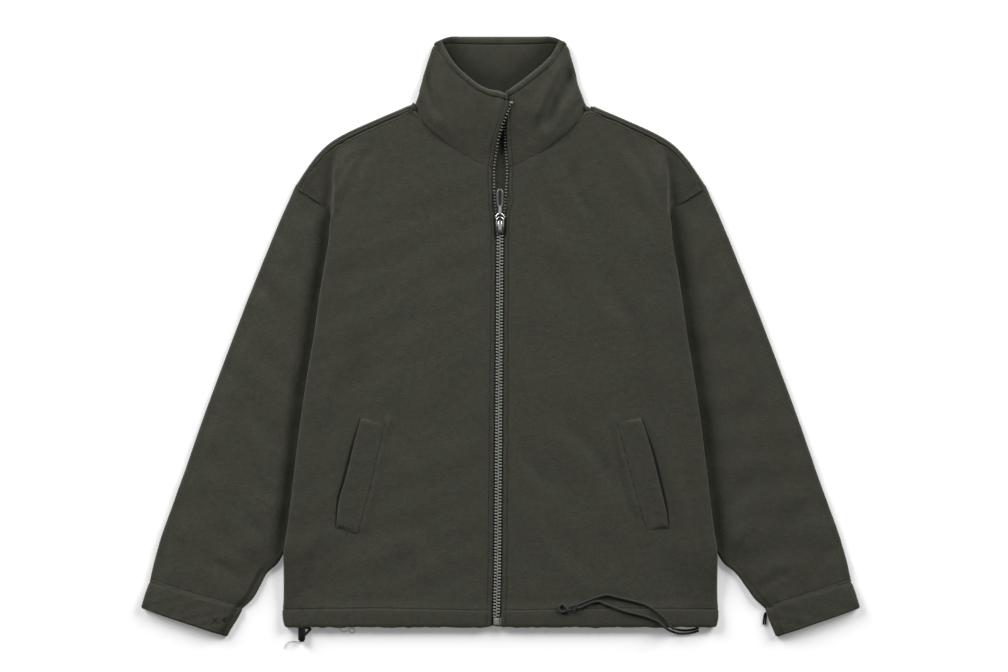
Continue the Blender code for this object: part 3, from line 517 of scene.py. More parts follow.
CORD = braided_cord("black_olive_cord", (0.0105, 0.0108, 0.0085, 1.0))
BLACK = moulded("black_plastic", (0.0050, 0.0050, 0.0054, 1.0), 0.34, shine=0.25)
STEEL = cast_metal("plated_metal", (0.80, 0.80, 0.79, 1.0), 0.24)
TEETH = moulded("grey_green_teeth", (0.178, 0.186, 0.160, 1.0), 0.40)
TAPE = woven_tape("zip_tape", (0.062, 0.066, 0.056, 1.0))
THREAD = moulded("olive_thread", (0.030, 0.031, 0.023, 1.0), 0.75, 2500)
DARK_THREAD = moulded("dark_thread", (0.012, 0.012, 0.010, 1.0), 0.7, 2500, 0.2)
# a near-black fleece for the painted shadow in the pockets' slits
PAINTED_POCKET_SHADOW = fleece("pocket_shadow", (0.010, 0.010, 0.008, 1.0), (0.012, 0.011, 0.009, 1.0))
print("finishes", [m.name for m in (CORD, BLACK, STEEL, TEETH, TAPE, THREAD, PAINTED_POCKET_SHADOW)])

# %% [markdown]
# ## Levels of the cloth
#
# Laid out, the jacket is a stack: the back and the undersides of the sleeves on the board, the sleeves'
# upper halves, then the fronts, whose side folds lie over the sleeves. The tables give the plan of each
# edge and its height. The forms made from them are the ones that the solids were made with, so every
# dressed piece starts where its solid is.

# %% Thicknesses, levels and lines of stitches
WALL, SLEEVE_WALL, HEM_WALL, COLLAR_WALL, CUFF_WALL = 2.4, 2.1, 4.0, 3.0, 3.2
FRONT_TOP, HEM_TOP, COLLAR_TOP = 8.2, 9.6, 9.7
SLEEVE_LOW, SLEEVE_RISE, SHOULDER_ROLL, COLLAR_LAP = 5.4, 3.6, 4.1, 4.6
HEM_Y, HEM_STITCH_Y, FOLD_END_Y, CROSSING_Y, CLIMB_WIDTH = -391.0, -368.0, 260.0, 161.0, 48.0
# how far each line of stitches lies from its edge
ZIP_STITCH, HEM_STITCH, CAP_STITCH, SHOULDER_STITCH = 4.8, 23.0, 4.5, 5.0
SLEEVE_STITCH, RIM_STITCH, COLLAR_END_STITCH = 3.5, 9.2, 4.6
print("stitched", ZIP_STITCH, "mm from the zip and", RIM_STITCH, "mm below the collar's rim")

# %% Plans of the edges
FOLD = np.array([
    # y, x, top, under, edge_x, edge_y: the side fold of a front
    (-391, 291.6, 9.6, 0, 285.9, -391), (-375, 295, 9.6, 0, 289.3, -375),
    (-356, 293, 9.6, 0, 287.3, -356), (-330, 293, 10.4, 0.6, 287.2, -330),
    (-292, 293, 13.4, 6.1, 288.4, -292), (-257, 287.5, 13.5, 6.1, 282.9, -257),
    (-192, 279.5, 13.5, 6.1, 274.9, -192), (-128, 272, 13.5, 6.1, 267.4, -128),
    (-76, 264.6, 13.5, 6.1, 260, -76), (-66, 263.2, 13.5, 5.8, 258.4, -66),
    (-45, 259.8, 13.5, 5.8, 252, -45), (-25, 256.4, 13.5, 5.8, 240, -25),
    (0, 252.1, 13.5, 5.8, 225, 0), (30, 247.9, 13.5, 5.8, 214, 30),
    (65, 243, 13.5, 5.8, 208, 65), (110, 235.5, 13.5, 5.8, 208, 110),
    (130, 232, 13.5, 5.8, 210, 130), (150, 230.6, 13.5, 5.8, 215, 150),
    (161, 229, 13.5, 5.8, 228.6, 161), (171, 227.5, 13.5, 5.8, 231, 172),
    (185, 226.8, 13.3, 6.5, 241, 178.3), (200, 226.3, 12.7, 7, 250, 184),
    (215, 225.8, 11.7, 6.6, 257.5, 188.7), (235, 224.5, 10, 5, 265.5, 193.8),
    (250, 222.5, 8.8, 3.8, 270, 196.7), (260, 219, 8.2, 3.2, 272.5, 198.2),
])
CLIMB = np.array([
    # y, x: where the front has climbed to the level of its side fold
    (-391, 275), (-330, 272), (-292, 262), (-240, 255), (-190, 242),
    (-140, 236), (-95, 236), (-66, 230), (-45, 222), (0, 212),
    (65, 205), (110, 205), (150, 211), (177, 215), (260, 205),
])
SHOULDER = np.array([
    # x, y, seam_x, seam_y: silhouette of the shoulder roll, and its seam on the front
    (118, 313.6, 124, 303.3), (152.5, 300, 155, 291), (190, 284, 188, 275.8),
    (222, 268, 216, 261.5), (242, 252, 235, 248), (255, 236, 247.5, 234),
    (267, 219, 259, 220.3), (277, 203.4, 271.7, 199.9),
])
FRONT_EDGE_TOP = np.array([
    # x, y: neckline, then shoulder
    (5, 229), (10, 229), (20, 231), (40, 240), (68, 258), (100, 285),
    (119, 304.4), (124, 302.2), (155, 289.9), (188, 274.8), (216, 260.6),
])
CAP_EDGE = [(216, 260.6), (234.2, 247.1), (246.5, 233.1), (258, 219.4), (272.5, 198.2)]
BACK_NECK = np.array([(0, 294.8), (60, 297), (90, 299.2)])
BACK_SIDE = np.array([
    (-66, 257.9), (-45, 257), (0, 253), (60, 249), (130, 252), (170, 260.5),
    (203.4, 277),
])
SLEEVE_OUTER = [
    (278.6, 201), (288, 179), (299, 155), (319, 106), (342, 49), (373, -32),
    (403, -113), (431, -194), (460, -275), (474.5, -331.5),
]
SLEEVE_INNER = [
    (262, -66), (262.5, -80), (263, -110), (264.5, -145), (268.5, -190), (278, -240),
    (294, -296), (315, -316), (342, -352), (357.5, -367.5),
]
SLEEVE_HEAD_FRONT = [
    (278.6, 201), (255.8, 186.2), (233.9, 171.9), (232.4, 161), (224, 147), (213, 120),
    (210, 80), (216, 32), (229, 0), (245, -24), (257, -43), (262, -66),
]
SLEEVE_HEAD_BACK = [
    (278.6, 201), (268, 181), (257.5, 150), (251.5, 100), (250.5, 50), (255, 0),
    (259, -40), (262, -66),
]
CUFF_OUTER = [(474.9, -332.3), (481.0, -349.3), (486.0, -366.5)]
CUFF_INNER = [(357.4, -368.3), (364.4, -387.4), (372.6, -406.0)]
COLLAR_SIDE = [(116.9, 310.4), (114.6, 318), (110, 325), (104.6, 341), (101, 357), (97, 372), (93.5, 385),
               (89.5, 395.5), (85.5, 403)]
COLLAR_BASE = [(20, 232.2), (40, 241.2), (68, 259.2), (92, 279.5), (108, 296.5), (112, 310.4)]
COLLAR_V = {
    # the rim of each front of the collar, from its free end to the side
    -1: [(8.6, 327.4), (-2, 331), (-25, 337.5), (-54.5, 361), (-68, 378), (-75, 391), (-80.65, 403)],
    1: [(7, 331), (18, 338), (33, 349), (51, 363.5), (67, 378.5), (76, 393.5), (80.65, 403)],
}
ZIP = np.array([
    # y, free edge of the right row of teeth, free edge of the left row
    (-392, -6.15, -5.85), (-315, -4.15, -3.85), (137, -0.85, -0.55), (150, -0.85, -0.55),
    (162, -2.60, 1.20), (198, -5.50, 4.50), (225, -6.00, 6.00), (245, -3.60, 4.60),
    (262, -0.70, 3.20), (285, 6.00, 2.40), (305, 14.00, 1.60), (318, 17.00, 1.00),
])
TEETH_WIDTH, TAPE_IN, TAPE_OUT, CLOTH_IN, SLIDER_Y = 4.45, 4.9, 21.0, 7.8, 149.5
TAPE_LAP = 5.6
WELTS = {
    # outer edge then inner edge, from the top of the pocket down
    -1: [(188.3, -108.3, 156.5, -116), (197.8, -144.8, 164.5, -152), (208.6, -189.3, 174.5, -196),
         (218, -221.7, 184, -232), (222, -258, 192.5, -265)],
    1: [(189.7, -108.3, 157.5, -114), (203.2, -152, 169, -158), (214, -195, 179.5, -198),
        (223.5, -235.6, 190, -237), (226.1, -258.2, 198.5, -263)],
}
CREASES = {
    # broad troughs of a front: two ends, half width, depth
    -1: [(-60, 190, -150, 60, 14, 1.1), (-40, -60, -120, -150, 16, 1), (-70, -250, -150, -330, 13, 0.9)],
    1: [(95, 232, 134, 101, 13, 1.5), (134, 101, 167, 48, 12, 1.3), (17, -135, 63, -193, 14, 1.2),
        (63, -193, 114, -234, 14, 1.3), (107, -129, 160, -200, 12, 1)],
}

# %% Heights of the layers


def beside(x, y, x0, y0, x1, y1):
    """A line's length, and how far along it and to its side each point is."""
    run = math.hypot(x1 - x0, y1 - y0)
    along = ((x - x0) * (x1 - x0) + (y - y0) * (y1 - y0)) / run
    return run, along, ((x - x0) * (y1 - y0) - (y - y0) * (x1 - x0)) / run


def crease_depth(x, y, side):
    """A trough along each line: depth times exp(-(across/width)^2), fading at both ends."""
    depth = np.zeros_like(x)
    for x0, y0, x1, y1, width, deep in CREASES[side]:
        run, along, across = beside(x, y, x0, y0, x1, y1)
        ends = smooth((along + 15) / 30) * smooth((run + 15 - along) / 30)
        depth = depth + deep * ends * hill(across / width)
    return np.minimum(depth, 1.6)


def front_height(x, y, side):
    """Outer face of a front between the zip and its side fold."""
    base = FRONT_TOP + (HEM_TOP - FRONT_TOP) * smooth((HEM_STITCH_Y + 8 - y) / 8)
    climb = smooth((np.abs(x) - read(CLIMB, y) + CLIMB_WIDTH) / CLIMB_WIDTH)
    open_cloth = smooth((np.abs(x) - 24) / 20) * smooth((y - HEM_STITCH_Y - 6) / 20) * (1 - climb)
    return base + (read(FOLD, y, 2) - base) * climb - crease_depth(x, y, side) * open_cloth


def arm_height(x, y):
    """Outer face of the shoulder cap and of the sleeve: low beside the body's fold, higher beyond it."""
    x = np.abs(x)
    height = SLEEVE_LOW + SLEEVE_RISE * smooth((x - read(FOLD, y) - 20) / 48)
    seam = np.interp(x, SHOULDER[:, 2], SHOULDER[:, 3], right=9999.0)
    near = smooth(1 - (seam - y) / 30) * (x < 276)
    return height + (FRONT_TOP - height) * near


def zip_edge(y, side):
    """The free edge of one row of teeth."""
    return read(ZIP, y, 1 if side < 0 else 2)


def collar_lap(y, side, x):
    """How much the wearer's right front of the collar rides over the left one."""
    return COLLAR_LAP * smooth((y - 244) / 26) * smooth((x + 24) / 26) if side < 0 else np.zeros_like(y)


def collar_stand(x, y):
    """How far the collar's fronts stand above their solids: 5 mm, less to the neck and the side folds."""
    fold = np.interp(y, [310.4, 341, 372, 403], [112.0, 99.8, 92.2, 80.6])
    return 5.0 * smooth((y - 240) / 70) * smooth((fold - np.abs(x)) / 34 + 0.06)


print("front at the zip", FRONT_TOP, "mm up, at its side fold", FOLD[:, 2].max(), "mm")

# %% [markdown]
# ## Cords
#
# The hem's drawcord comes out below the wearer's left side seam as two strands that lie over the hem to a
# knot with a small loop. At the other side a spring lock sits on its own short loop. Each cord is a tube
# along its centreline, a little flatter than round, with the braid raised on it. The routes are the ones
# of the solids, so each strand lies on the cloth that carries it.

# %% Cords


def along_route(route, step):
    """The centreline of a cord, with points a step apart."""
    rough = path(route, np.linspace(0, 1, 300))
    return path(route, np.linspace(0, 1, int(run_of(rough)[-1] / step) + 2))


def braid(line, diameter, around=20, flat=0.10):
    """Rings round a centreline: radius * (0.93 + 0.08 * the higher of two crossing sine bands)."""
    pick = 1.3 * diameter
    ways = unit(np.gradient(line, axis=0))
    side = unit(np.cross(ways, [0.0, 0.0, 1.0]))
    over = np.cross(side, ways)
    angle = np.linspace(0, 2 * math.pi, around, endpoint=False)[None, :]
    turn = (2 * math.pi * run_of(line) / pick)[:, None]
    bands = np.maximum(np.sin(4 * angle + turn), np.sin(4 * angle - turn))
    radius = diameter / 2 * (0.93 + 0.08 * bands)
    rings = (line[:, None] + (radius * np.cos(angle) * (1 + flat))[..., None] * side[:, None]
             + (radius * np.sin(angle) * (1 - flat))[..., None] * over[:, None])
    uv = np.stack([np.broadcast_to(4 * angle, turn.shape[:1] + angle.shape[1:]), turn + 0 * angle], -1)
    return rings, uv.reshape(-1, 2)


def cord(name, node, route, diameter, look, step=0.5):
    """A braided tube along its route that stands for its solid; the centreline comes with it."""
    line = along_route(route, step)
    rings, uv = braid(line, diameter)
    points, faces = tube_mesh(rings)
    made = write_mesh(name, points, faces, look, uv=np.vstack([uv, uv[:1], uv[-1:]]))
    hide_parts(node)
    return made, line


def on_front(points, lift):
    """Points laid on the wearer's left front."""
    p = np.asarray(points, float)
    return np.column_stack([p, front_height(p[:, 0], p[:, 1], 1) + lift])


CORD_WIDTH, LOCK_CORD_WIDTH, CUFF_CORD_WIDTH, CORD_LIFT = 3.0, 3.1, 2.4, 2.0
LONG_ROUTE = np.vstack([
    [(268, -393.4, 1.7), (260, -396, 1.7), (250.4, -397.2, 1.7), (242, -396.6, 2.6),
     (236.6, -395, 6.6), (233.4, -394, 10.4), (229.6, -390.6, 12.3)],
    on_front([(223.4, -382.4), (209.9, -370.2), (196.4, -362.1), (178.9, -356.7), (155.9, -351.3),
              (142.4, -348.4), (126, -353), (103.6, -362)], CORD_LIFT),
])
SHORT_ROUTE = np.vstack([
    [(268, -397.2, 1.7), (260, -399.8, 1.7), (250.4, -401.2, 1.7), (240, -401, 1.9),
     (231, -398, 4.6), (226.2, -395.4, 9.2), (222.8, -392.8, 12.2), (219, -389.2, 12.2)],
    on_front([(212, -383.7), (192.4, -376.4), (165.4, -369.6), (142.4, -361.2), (128.8, -357.2),
              (104.2, -366.6)], CORD_LIFT),
])
BIGHT_ROUTE = on_front([(88.6, -365.2), (84, -361.6), (79.4, -363.4), (78.6, -368), (82.4, -371.2),
                        (88, -370.6)], CORD_LIFT)
LOCK_ROUTE = [(-271.6, -405.6, 4.4), (-267.6, -404.9, 4.4), (-263.9, -402.6, 4), (-261.4, -399.8, 2.9),
              (-258.8, -397.2, 2), (-257.2, -395.3, 2), (-258.8, -393.9, 2), (-263.4, -393.2, 3.4),
              (-267.8, -392.9, 4.4), (-271.6, -393.2, 4.4)]
CUFF_ROUTE = [(355.3, -389.2, 1.3), (356, -382, 1.3), (357, -376, 1.3), (358.2, -373.4, 1.3),
              (359, -376, 1.3), (358.8, -382, 1.3), (358.3, -389.2, 1.3)]

long_cord, long_line = cord("hem_cord_long", "drawcord_long", LONG_ROUTE, CORD_WIDTH, CORD)
short_cord, short_line = cord("hem_cord_short", "drawcord_short", SHORT_ROUTE, CORD_WIDTH, CORD)
bight, _ = cord("hem_cord_loop", "cord_bight", BIGHT_ROUTE, CORD_WIDTH, CORD)
lock_loop, lock_line = cord("lock_loop", "lock_cord", LOCK_ROUTE, LOCK_CORD_WIDTH, CORD)
cuff_loop, cuff_line = cord("cuff_tab_cord", "cuff_cord", CUFF_ROUTE, CUFF_CORD_WIDTH, BLACK, step=0.35)
lines = (long_line, short_line, lock_line, cuff_line)
print("lengths of the cords in mm", [round(float(run_of(line)[-1]), 1) for line in lines])

# %% [markdown]
# The knot is a plain overhand knot. Its tightened shape is the trefoil curve
# (sin t + 2 sin 2t, cos t - 2 cos 2t, -sin 3t), pressed flat and lying where the two strands end.

# %% Knot
KNOT_PLACE, KNOT_TURN = np.array([95.6, -366.2]), 0.38


def knot():
    """A tube of the cord's own width along a flattened trefoil."""
    t = np.linspace(0, 2 * math.pi, 150, endpoint=False)
    x, y = 1.95 * (np.sin(t) + 2 * np.sin(2 * t)), 1.45 * (np.cos(t) - 2 * np.cos(2 * t))
    z = -1.75 * np.sin(3 * t)
    level = float(front_height(KNOT_PLACE[:1], KNOT_PLACE[1:], 1)[0]) + 4.1
    line = np.column_stack([
        KNOT_PLACE[0] + x * math.cos(KNOT_TURN) - y * math.sin(KNOT_TURN),
        KNOT_PLACE[1] + x * math.sin(KNOT_TURN) + y * math.cos(KNOT_TURN), level + z,
    ])
    line = np.vstack([line, line[:2]])
    rings, uv = braid(line, 2.7, around=16, flat=0.0)
    points, faces = tube_mesh(rings)
    made = write_mesh("hem_cord_knot", points, faces, CORD, uv=np.vstack([uv, uv[:1], uv[-1:]]))
    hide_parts("cord_knot")
    return made


cord_knot = knot()

# %% [markdown]
# The lock is a barrel with a spring button: a rounded rectangle in section, ribbed where a thumb grips it,
# with the button standing out of the lower end and a slot where the cord passes through.

# %% Cord lock
LOCK_X, LOCK_Z, LOCK_HALF_WIDE, LOCK_HALF_TALL = -268.6, 4.4, 4.75, 4.1


def rounded(width, height, count=40, power=0.55):
    """A rounded rectangle: cos and sin each raised to a power below one, so the sides flatten."""
    angle = np.linspace(0, 2 * math.pi, count, endpoint=False)
    c, s = np.cos(angle), np.sin(angle)
    return np.column_stack([width * np.sign(c) * np.abs(c) ** power,
                            height * np.sign(s) * np.abs(s) ** power])


def barrel(profile, power=0.55):
    """A tube of rings across Y, each (y, girth) of the profile: the lock's outline times its girth."""
    outline = rounded(LOCK_HALF_WIDE, LOCK_HALF_TALL, power=power)
    return tube_mesh([
        np.column_stack([LOCK_X + girth * outline[:, 0], np.full(len(outline), y),
                         LOCK_Z + girth * outline[:, 1]])
        for y, girth in profile
    ])


def cord_lock():
    """Body, five thumb ribs and the button, as tubes set end to end."""
    body = [(-391.4, 0.62), (-391.5, 0.80), (-391.9, 0.90), (-392.6, 0.96), (-394.0, 1.0), (-408.2, 1.0),
            (-409.3, 0.97), (-410.0, 0.90), (-410.3, 0.78), (-410.3, 0.5)]
    button = [(-409.6, 0.70), (-411.4, 0.70), (-411.9, 0.66), (-412.2, 0.55), (-412.25, 0.3)]
    parts = [barrel(body), barrel(button, 0.9)]
    for y in np.linspace(-397.5, -404.5, 5):
        rib = [(y - 0.5, 0.99), (y - 0.35, 1.03), (y + 0.35, 1.03), (y + 0.5, 0.99)]
        parts.append(barrel(rib))
    points, faces = together(parts)
    made = write_mesh("hem_cord_lock", points, faces, BLACK)
    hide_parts("cord_lock")
    return made


lock = cord_lock()

# %% [markdown]
# ## Fronts
#
# Each front is one sheet: flat from the zip to the side fold, then rolled under to the side seam, or laid
# on over the shoulder cap. It is worked out coarsely, the way the solid is, then drawn again on lines about
# 3 mm apart, closer beside each line of stitches. Then each point moves along its own normal: down in the
# stitched lines, up in the soft ridge between a line and its edge, and in and out in the creases. Beside
# the side fold the cloth stands up a few millimetres, straight up, so that the fold's edge keeps its place.

# %% Coarse form of a front
FRONT_ROWS = np.array([
    -391, -381, -369, -360, -345, -328, -310, -292, -262, -228, -190, -150, -110, -76, -66, -45, -25, 0,
    30, 65, 100, 130, 150, 161, 171, 185, 200, 215, 235, 250, 260,
], float)
FRONT_COLUMNS = np.array([0, 0.05, 0.13, 0.22, 0.32, 0.43, 0.527, 0.63, 0.72, 0.80, 0.87, 0.94, 0.98, 1.0])
ROLL_ANGLES = np.radians(np.arange(18, 181, 18))
CAP_STEPS = np.array([0.04, 0.08, 0.12, 0.17, 0.23, 0.29, 0.36, 0.43, 0.51, 0.60, 0.79, 1.0])
CAP_START, CAP_STEP = 4.0, 6.5


def front_form(side):
    """Rows up the body; columns from the zip to the fold, then round it to the side seam or over the cap.

    Below the armhole the end turns under in a half circle; above it, it steps down onto the cap with
    smooth(distance / step); the one row between them hangs straight down."""
    y_fold = FRONT_ROWS
    fold, top, under, edge_x, edge_y = (read(FOLD, y_fold, c) for c in range(1, 6))
    radius = (top - under) / 2
    start = fold - np.where(y_fold > CROSSING_Y, CAP_START, radius)
    up = (y_fold - HEM_Y) / (FOLD_END_Y - HEM_Y)
    edge = side * zip_edge(HEM_Y + (229.0 - HEM_Y) * up, side) + CLOTH_IN - 0.9
    x = edge[:, None] * (1 - FRONT_COLUMNS) + start[:, None] * FRONT_COLUMNS
    y_top = np.interp(x[-1], FRONT_EDGE_TOP[:, 0], FRONT_EDGE_TOP[:, 1])
    y = HEM_Y + (y_top - HEM_Y)[None, :] * up[:, None]
    y[:, -1] = y_fold
    body = np.stack([x, y, front_height(side * x, y, side)], -1)

    around = start[:, None] + radius[:, None] * np.sin(ROLL_ANGLES)
    turned = np.stack([
        np.column_stack([around, (around[:, -1] + edge_x) / 2, edge_x]),
        np.repeat(y_fold[:, None], 12, axis=1),
        np.column_stack([under[:, None] + radius[:, None] * (1 + np.cos(ROLL_ANGLES)), under, under]),
    ], -1)

    t = CAP_STEPS
    cap_x = start[:, None] * (1 - t) + edge_x[:, None] * t
    cap_y = y_fold[:, None] * (1 - t) + edge_y[:, None] * t
    bow = path(CAP_EDGE, t) - np.column_stack([cap_x[-1], cap_y[-1]])
    swing = smooth((y_fold - 171) / (FOLD_END_Y - 171))[:, None]
    cap_x, cap_y = cap_x + swing * bow[:, 0], cap_y + swing * bow[:, 1]
    away = np.hypot(cap_x - start[:, None], cap_y - y_fold[:, None])
    level = arm_height(cap_x, cap_y)
    step = smooth(away / np.minimum(CAP_STEP, away[:, -1:]))
    laid = np.stack([cap_x, cap_y, level + (np.maximum(top[:, None], level) - level) * (1 - step)], -1)

    quarter, drop, r = np.radians([30, 60, 90]), np.arange(1, 10) / 9, radius[:, None]
    over_x, over_z = start[:, None] + r * np.sin(quarter), top[:, None] - r * (1 - np.cos(quarter))
    down = np.stack([
        np.concatenate([over_x, (start + radius)[:, None] + 0 * drop], axis=1),
        np.repeat(y_fold[:, None], 12, axis=1),
        np.concatenate([over_z, (top - radius)[:, None] - r * drop], axis=1),
    ], -1)
    which = y_fold[:, None, None]
    end = np.where(which < CROSSING_Y, turned, np.where(which > CROSSING_Y, laid, down))
    grid = np.concatenate([body, end], axis=1)
    grid[..., 0] *= side
    return grid


# %% Seams, hems and creases as small moves along the normal


def stitched(distance, line, deep=0.8, puff=0.45, edge=1.5):
    """Across a sewn edge: rounded off at the edge, a soft ridge, the pressed line, and a slow return.

    The ridge is puff * sin(pi d / line)^0.8 and the line is -deep * exp(-((d - line) / 0.75)^2)."""
    d = np.asarray(distance, float)
    off = -edge * 0.85 * np.clip(1 - d / edge, 0, 1) ** 2
    ridge = puff * np.sin(math.pi * np.clip(d / line, 0, 1)) ** 0.8
    pressed = -deep * hill((d - line) / 0.75)
    beyond = -0.45 * deep * np.clip(1 - (d - line) / 6.0, 0, 1) ** 2 * (d > line)
    return off + ridge + pressed + beyond


def seam_mark(distance, line, width=0.9):
    """How strongly the stitched line is pressed and darkened, 0 to 1."""
    return hill((np.asarray(distance, float) - line) / width)


def soft_creases(x, y, table):
    """Troughs and the ridges beside them: each row is two ends, a bow sideways, half width and depth."""
    move = np.zeros(np.broadcast(x, y).shape)
    for x0, y0, x1, y1, bow, width, deep in table:
        run, along, across = beside(x, y, x0, y0, x1, y1)
        across = across - bow * (1 - (2 * along / run - 1) ** 2)
        fade = smooth((along + 0.12 * run) / (0.35 * run)) * smooth((1.12 * run - along) / (0.35 * run))
        move = move + deep * fade * (0.45 * hill((across - 1.7 * width) / width) - hill(across / width))
    return move


def tucked(outer, inner, by, sink=0.7):
    """One more row before the first, drawn on by a distance and sunk into the wall: it runs under the
    next piece."""
    through = unit(inner[:1] - outer[:1])
    more = []
    for grid, way in ((outer, 1.0), (inner, -1.0)):
        on = unit(grid[:1] - grid[1:2])
        more.append(np.concatenate([grid[:1] + by * on + way * sink * through, grid]))
    return more


def pocket_place(x, y, side):
    """How far down a pocket a point is, 0 to 1, and how far past its outer and its inner edge."""
    rows = np.array(WELTS[side], float)
    outer_x, inner_x = np.interp(-y, -rows[:, 1], rows[:, 0]), np.interp(-y, -rows[:, 3], rows[:, 2])
    return (rows[0, 1] - y) / (rows[0, 1] - rows[-1, 1]), side * x - outer_x, inner_x - side * x


def pocket_relief(x, y, side):
    """Where a welt holds the front level, the trough at its mouth and the soft ridge beside its seam."""
    down, past_outer, past_inner = pocket_place(x, y, side)
    band = smooth((down + 0.06) / 0.10) * smooth((1.06 - down) / 0.10)
    level = band * smooth((16 - past_inner) / 9) * smooth((14 - past_outer) / 8)
    open_by = np.sin(math.pi * np.clip(down, 0, 1)) ** 0.5
    mouth = -1.3 * open_by * hill((past_outer - 1.8) / 2.6)
    ridge = 2.1 * band * hill((past_inner - 4.8) / 3.2) * (0.75 + 0.25 * ripple(y, 88 + side, 30, 70, 4))
    ridge = ridge - 0.5 * band * hill((past_inner - 0.6) / 1.3)
    return level, mouth + ridge


FRONT_CREASES = {
    # two ends, a bow sideways, half width and depth, for each front
    -1: [(-168, 262, -222, 150, 6, 8, 1.3), (-190, 250, -228, 196, 3, 5, 0.9),
         (-30, 205, -44, 60, -5, 11, 0.7), (-95, 70, -150, -40, 8, 15, 0.8),
         (-215, -60, -238, -210, 5, 12, 0.9), (-120, -250, -66, -330, -7, 13, 0.8),
         (-238, -270, -262, -350, 3, 9, 0.9), (-160, 150, -205, 40, 8, 17, 0.8),
         (-150, -96, -110, -180, 4, 9, 0.7)],
    1: [(58, 240, 70, 150, 6, 9, 1.7), (96, 230, 118, 165, 3, 6, 1.5), (172, 262, 214, 176, -5, 8, 1.3),
        (140, 95, 182, 20, 8, 12, 1.1), (60, 110, 92, 10, -6, 15, 0.8), (20, -130, 74, -206, 9, 9, 1.1),
        (84, -120, 160, -212, -9, 10, 1.2), (70, -262, 140, -330, 5, 12, 0.8),
        (236, -110, 262, -240, 4, 11, 0.9), (150, -118, 178, -240, 3, 6, 1.1),
        (30, 30, 62, -60, 5, 14, 0.6)],
}


def side_rise(x, y):
    """How far the cloth stands up beside its side fold: 4 mm * exp(-(distance inside it / 24)^2).

    It is less on the cap past the fold, and fades out above the hem and below the shoulder."""
    past = np.abs(x) - read(FOLD, y)
    inside = hill(np.maximum(-past, 0) / 24) * (1 - 0.6 * smooth((past + 2) / 10))
    return 4.0 * inside * smooth((y + 372) / 70) * smooth((266 - y) / 50)


def cap_furrow(x, y):
    """The shallow trough just past the fold, where the shoulder cap starts."""
    past = np.abs(x) - read(FOLD, y)
    furrow = -2.2 * hill(np.maximum(past - 5.0, 0) / 9.5) * smooth((past + 1) / 4)
    return furrow * smooth((y - 150) / 16) * smooth((262 - y) / 34)


def front_marks(x, y, up, out, height, width, facing, at_neck):
    """How much the pile is pressed, at the zip, the hem, the shoulder and the armhole, and the painted shade
    along the side fold's edge from the armpit up over the cap.
    """
    past = np.abs(x) - read(FOLD, y)
    return np.maximum.reduce([
        seam_mark(out, ZIP_STITCH) + 0 * up, 0.85 * seam_mark(up, HEM_STITCH) + 0 * out,
        # painted shade: darker along the side fold's edge, from the armpit up over the shoulder cap
        0.7 * hill((past - 0.5) / 5.0) * facing * smooth((y - 130) / 30),
        0.2 * seam_mark(height - up, 3.0) * (1 - at_neck),
        0.6 * seam_mark(width - out, CAP_STITCH) + 0 * up,
    ])


def front(side, name, node):
    """A dressed front: its form refined, then moved along its normals."""
    grid, up, out, height, width = refine(
        front_form(side), 3.3, row_lines=[HEM_STITCH, -3.0], column_lines=[ZIP_STITCH, -CAP_STITCH])
    way = normals(grid) * -side
    x, y = grid[..., 0], grid[..., 1]
    facing = smooth((way[..., 2] - 0.1) / 0.5)
    hem = np.clip(1 - up / 30, 0, 1)
    gather = ripple(x + 0 * up, 31 + side, 9, 26)
    waves = ripple(x + 0 * up, 57 + side, 30, 90, 5)
    level, relief = pocket_relief(x, y, side)
    at_neck = 1 - smooth((np.abs(x) - 100) / 20)
    move = stitched(out, ZIP_STITCH, 0.75, 0.35) + stitched(up, HEM_STITCH, 0.70, 0.45, 1.2)
    move = move + stitched(height - up, 3.0, 0.12, 0.2, 0.7) * (1 - 0.85 * at_neck)
    move = move + facing * (1 - level) * (
        soft_creases(x, y, FRONT_CREASES[side])
        + 0.42 * billow(x, y, 5 + side, 38, 105) + 0.10 * billow(x, y, 15 + side, 9, 20)
    ) * smooth(out / 26) * smooth((up - 16) / 30)
    move = move + facing * (relief + 0.42 * gather * hill((up - 20) / 9) + 0.30 * waves * hem)
    seam = front_marks(x, y, up, out, height, width, facing, at_neck)
    across = np.abs(x[-1:, :, None])
    rise, furrow = side_rise(x, y), cap_furrow(x, y)
    grid = grid + way * (facing * furrow)[..., None]
    grid[..., 2] += facing * rise
    outer = grid + way * move[..., None]
    wall = np.where(up < HEM_STITCH + 0.2, HEM_WALL, WALL) + 0 * out
    inner = grid - way * (wall - np.minimum(0, stitched(out, ZIP_STITCH)) * 0.3)[..., None]

    drop = 0.7 * waves + 0.35 * gather - 1.4
    zip_wave = 0.35 * ripple(y, 77 + side, 22, 70, 5) * np.clip(1 - out / 12, 0, 1)
    zip_wave = zip_wave + 3.2 * (side > 0) * hill((y - 186) / 11) * np.clip(1 - out / 22, 0, 1)
    for face, least in ((outer, 0.0), (inner, 0.15)):
        face[..., 1] += drop * hem ** 2
        face[..., 0] += side * zip_wave
        face[..., 2] = np.maximum(face[..., 2], least)
    under = 0.8 + (4.2 + 4.0 * smooth((across - 70) / 34)) * smooth((123 - across) / 6)
    outer, inner = (face[::-1] for face in tucked(outer[::-1], inner[::-1], under, 0.8))
    seam = np.concatenate([seam, seam[-1:]])
    up = np.concatenate([up, up[-1:] + 0.8])
    made = cloth(name, outer, inner, FLEECE, turn=side < 0, seam=seam)
    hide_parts(node)
    return made, outer, inner, up, out, width


fronts = {-1: front(-1, "right_front", "front_right"), 1: front(1, "left_front", "front_left")}

# %% [markdown]
# ## Back
#
# The back lies face down, so most of it is out of sight. It shows as the narrow strip that rolls over each
# shoulder to the seam on the front, below the collar's inside, and as the under edge of the hem.

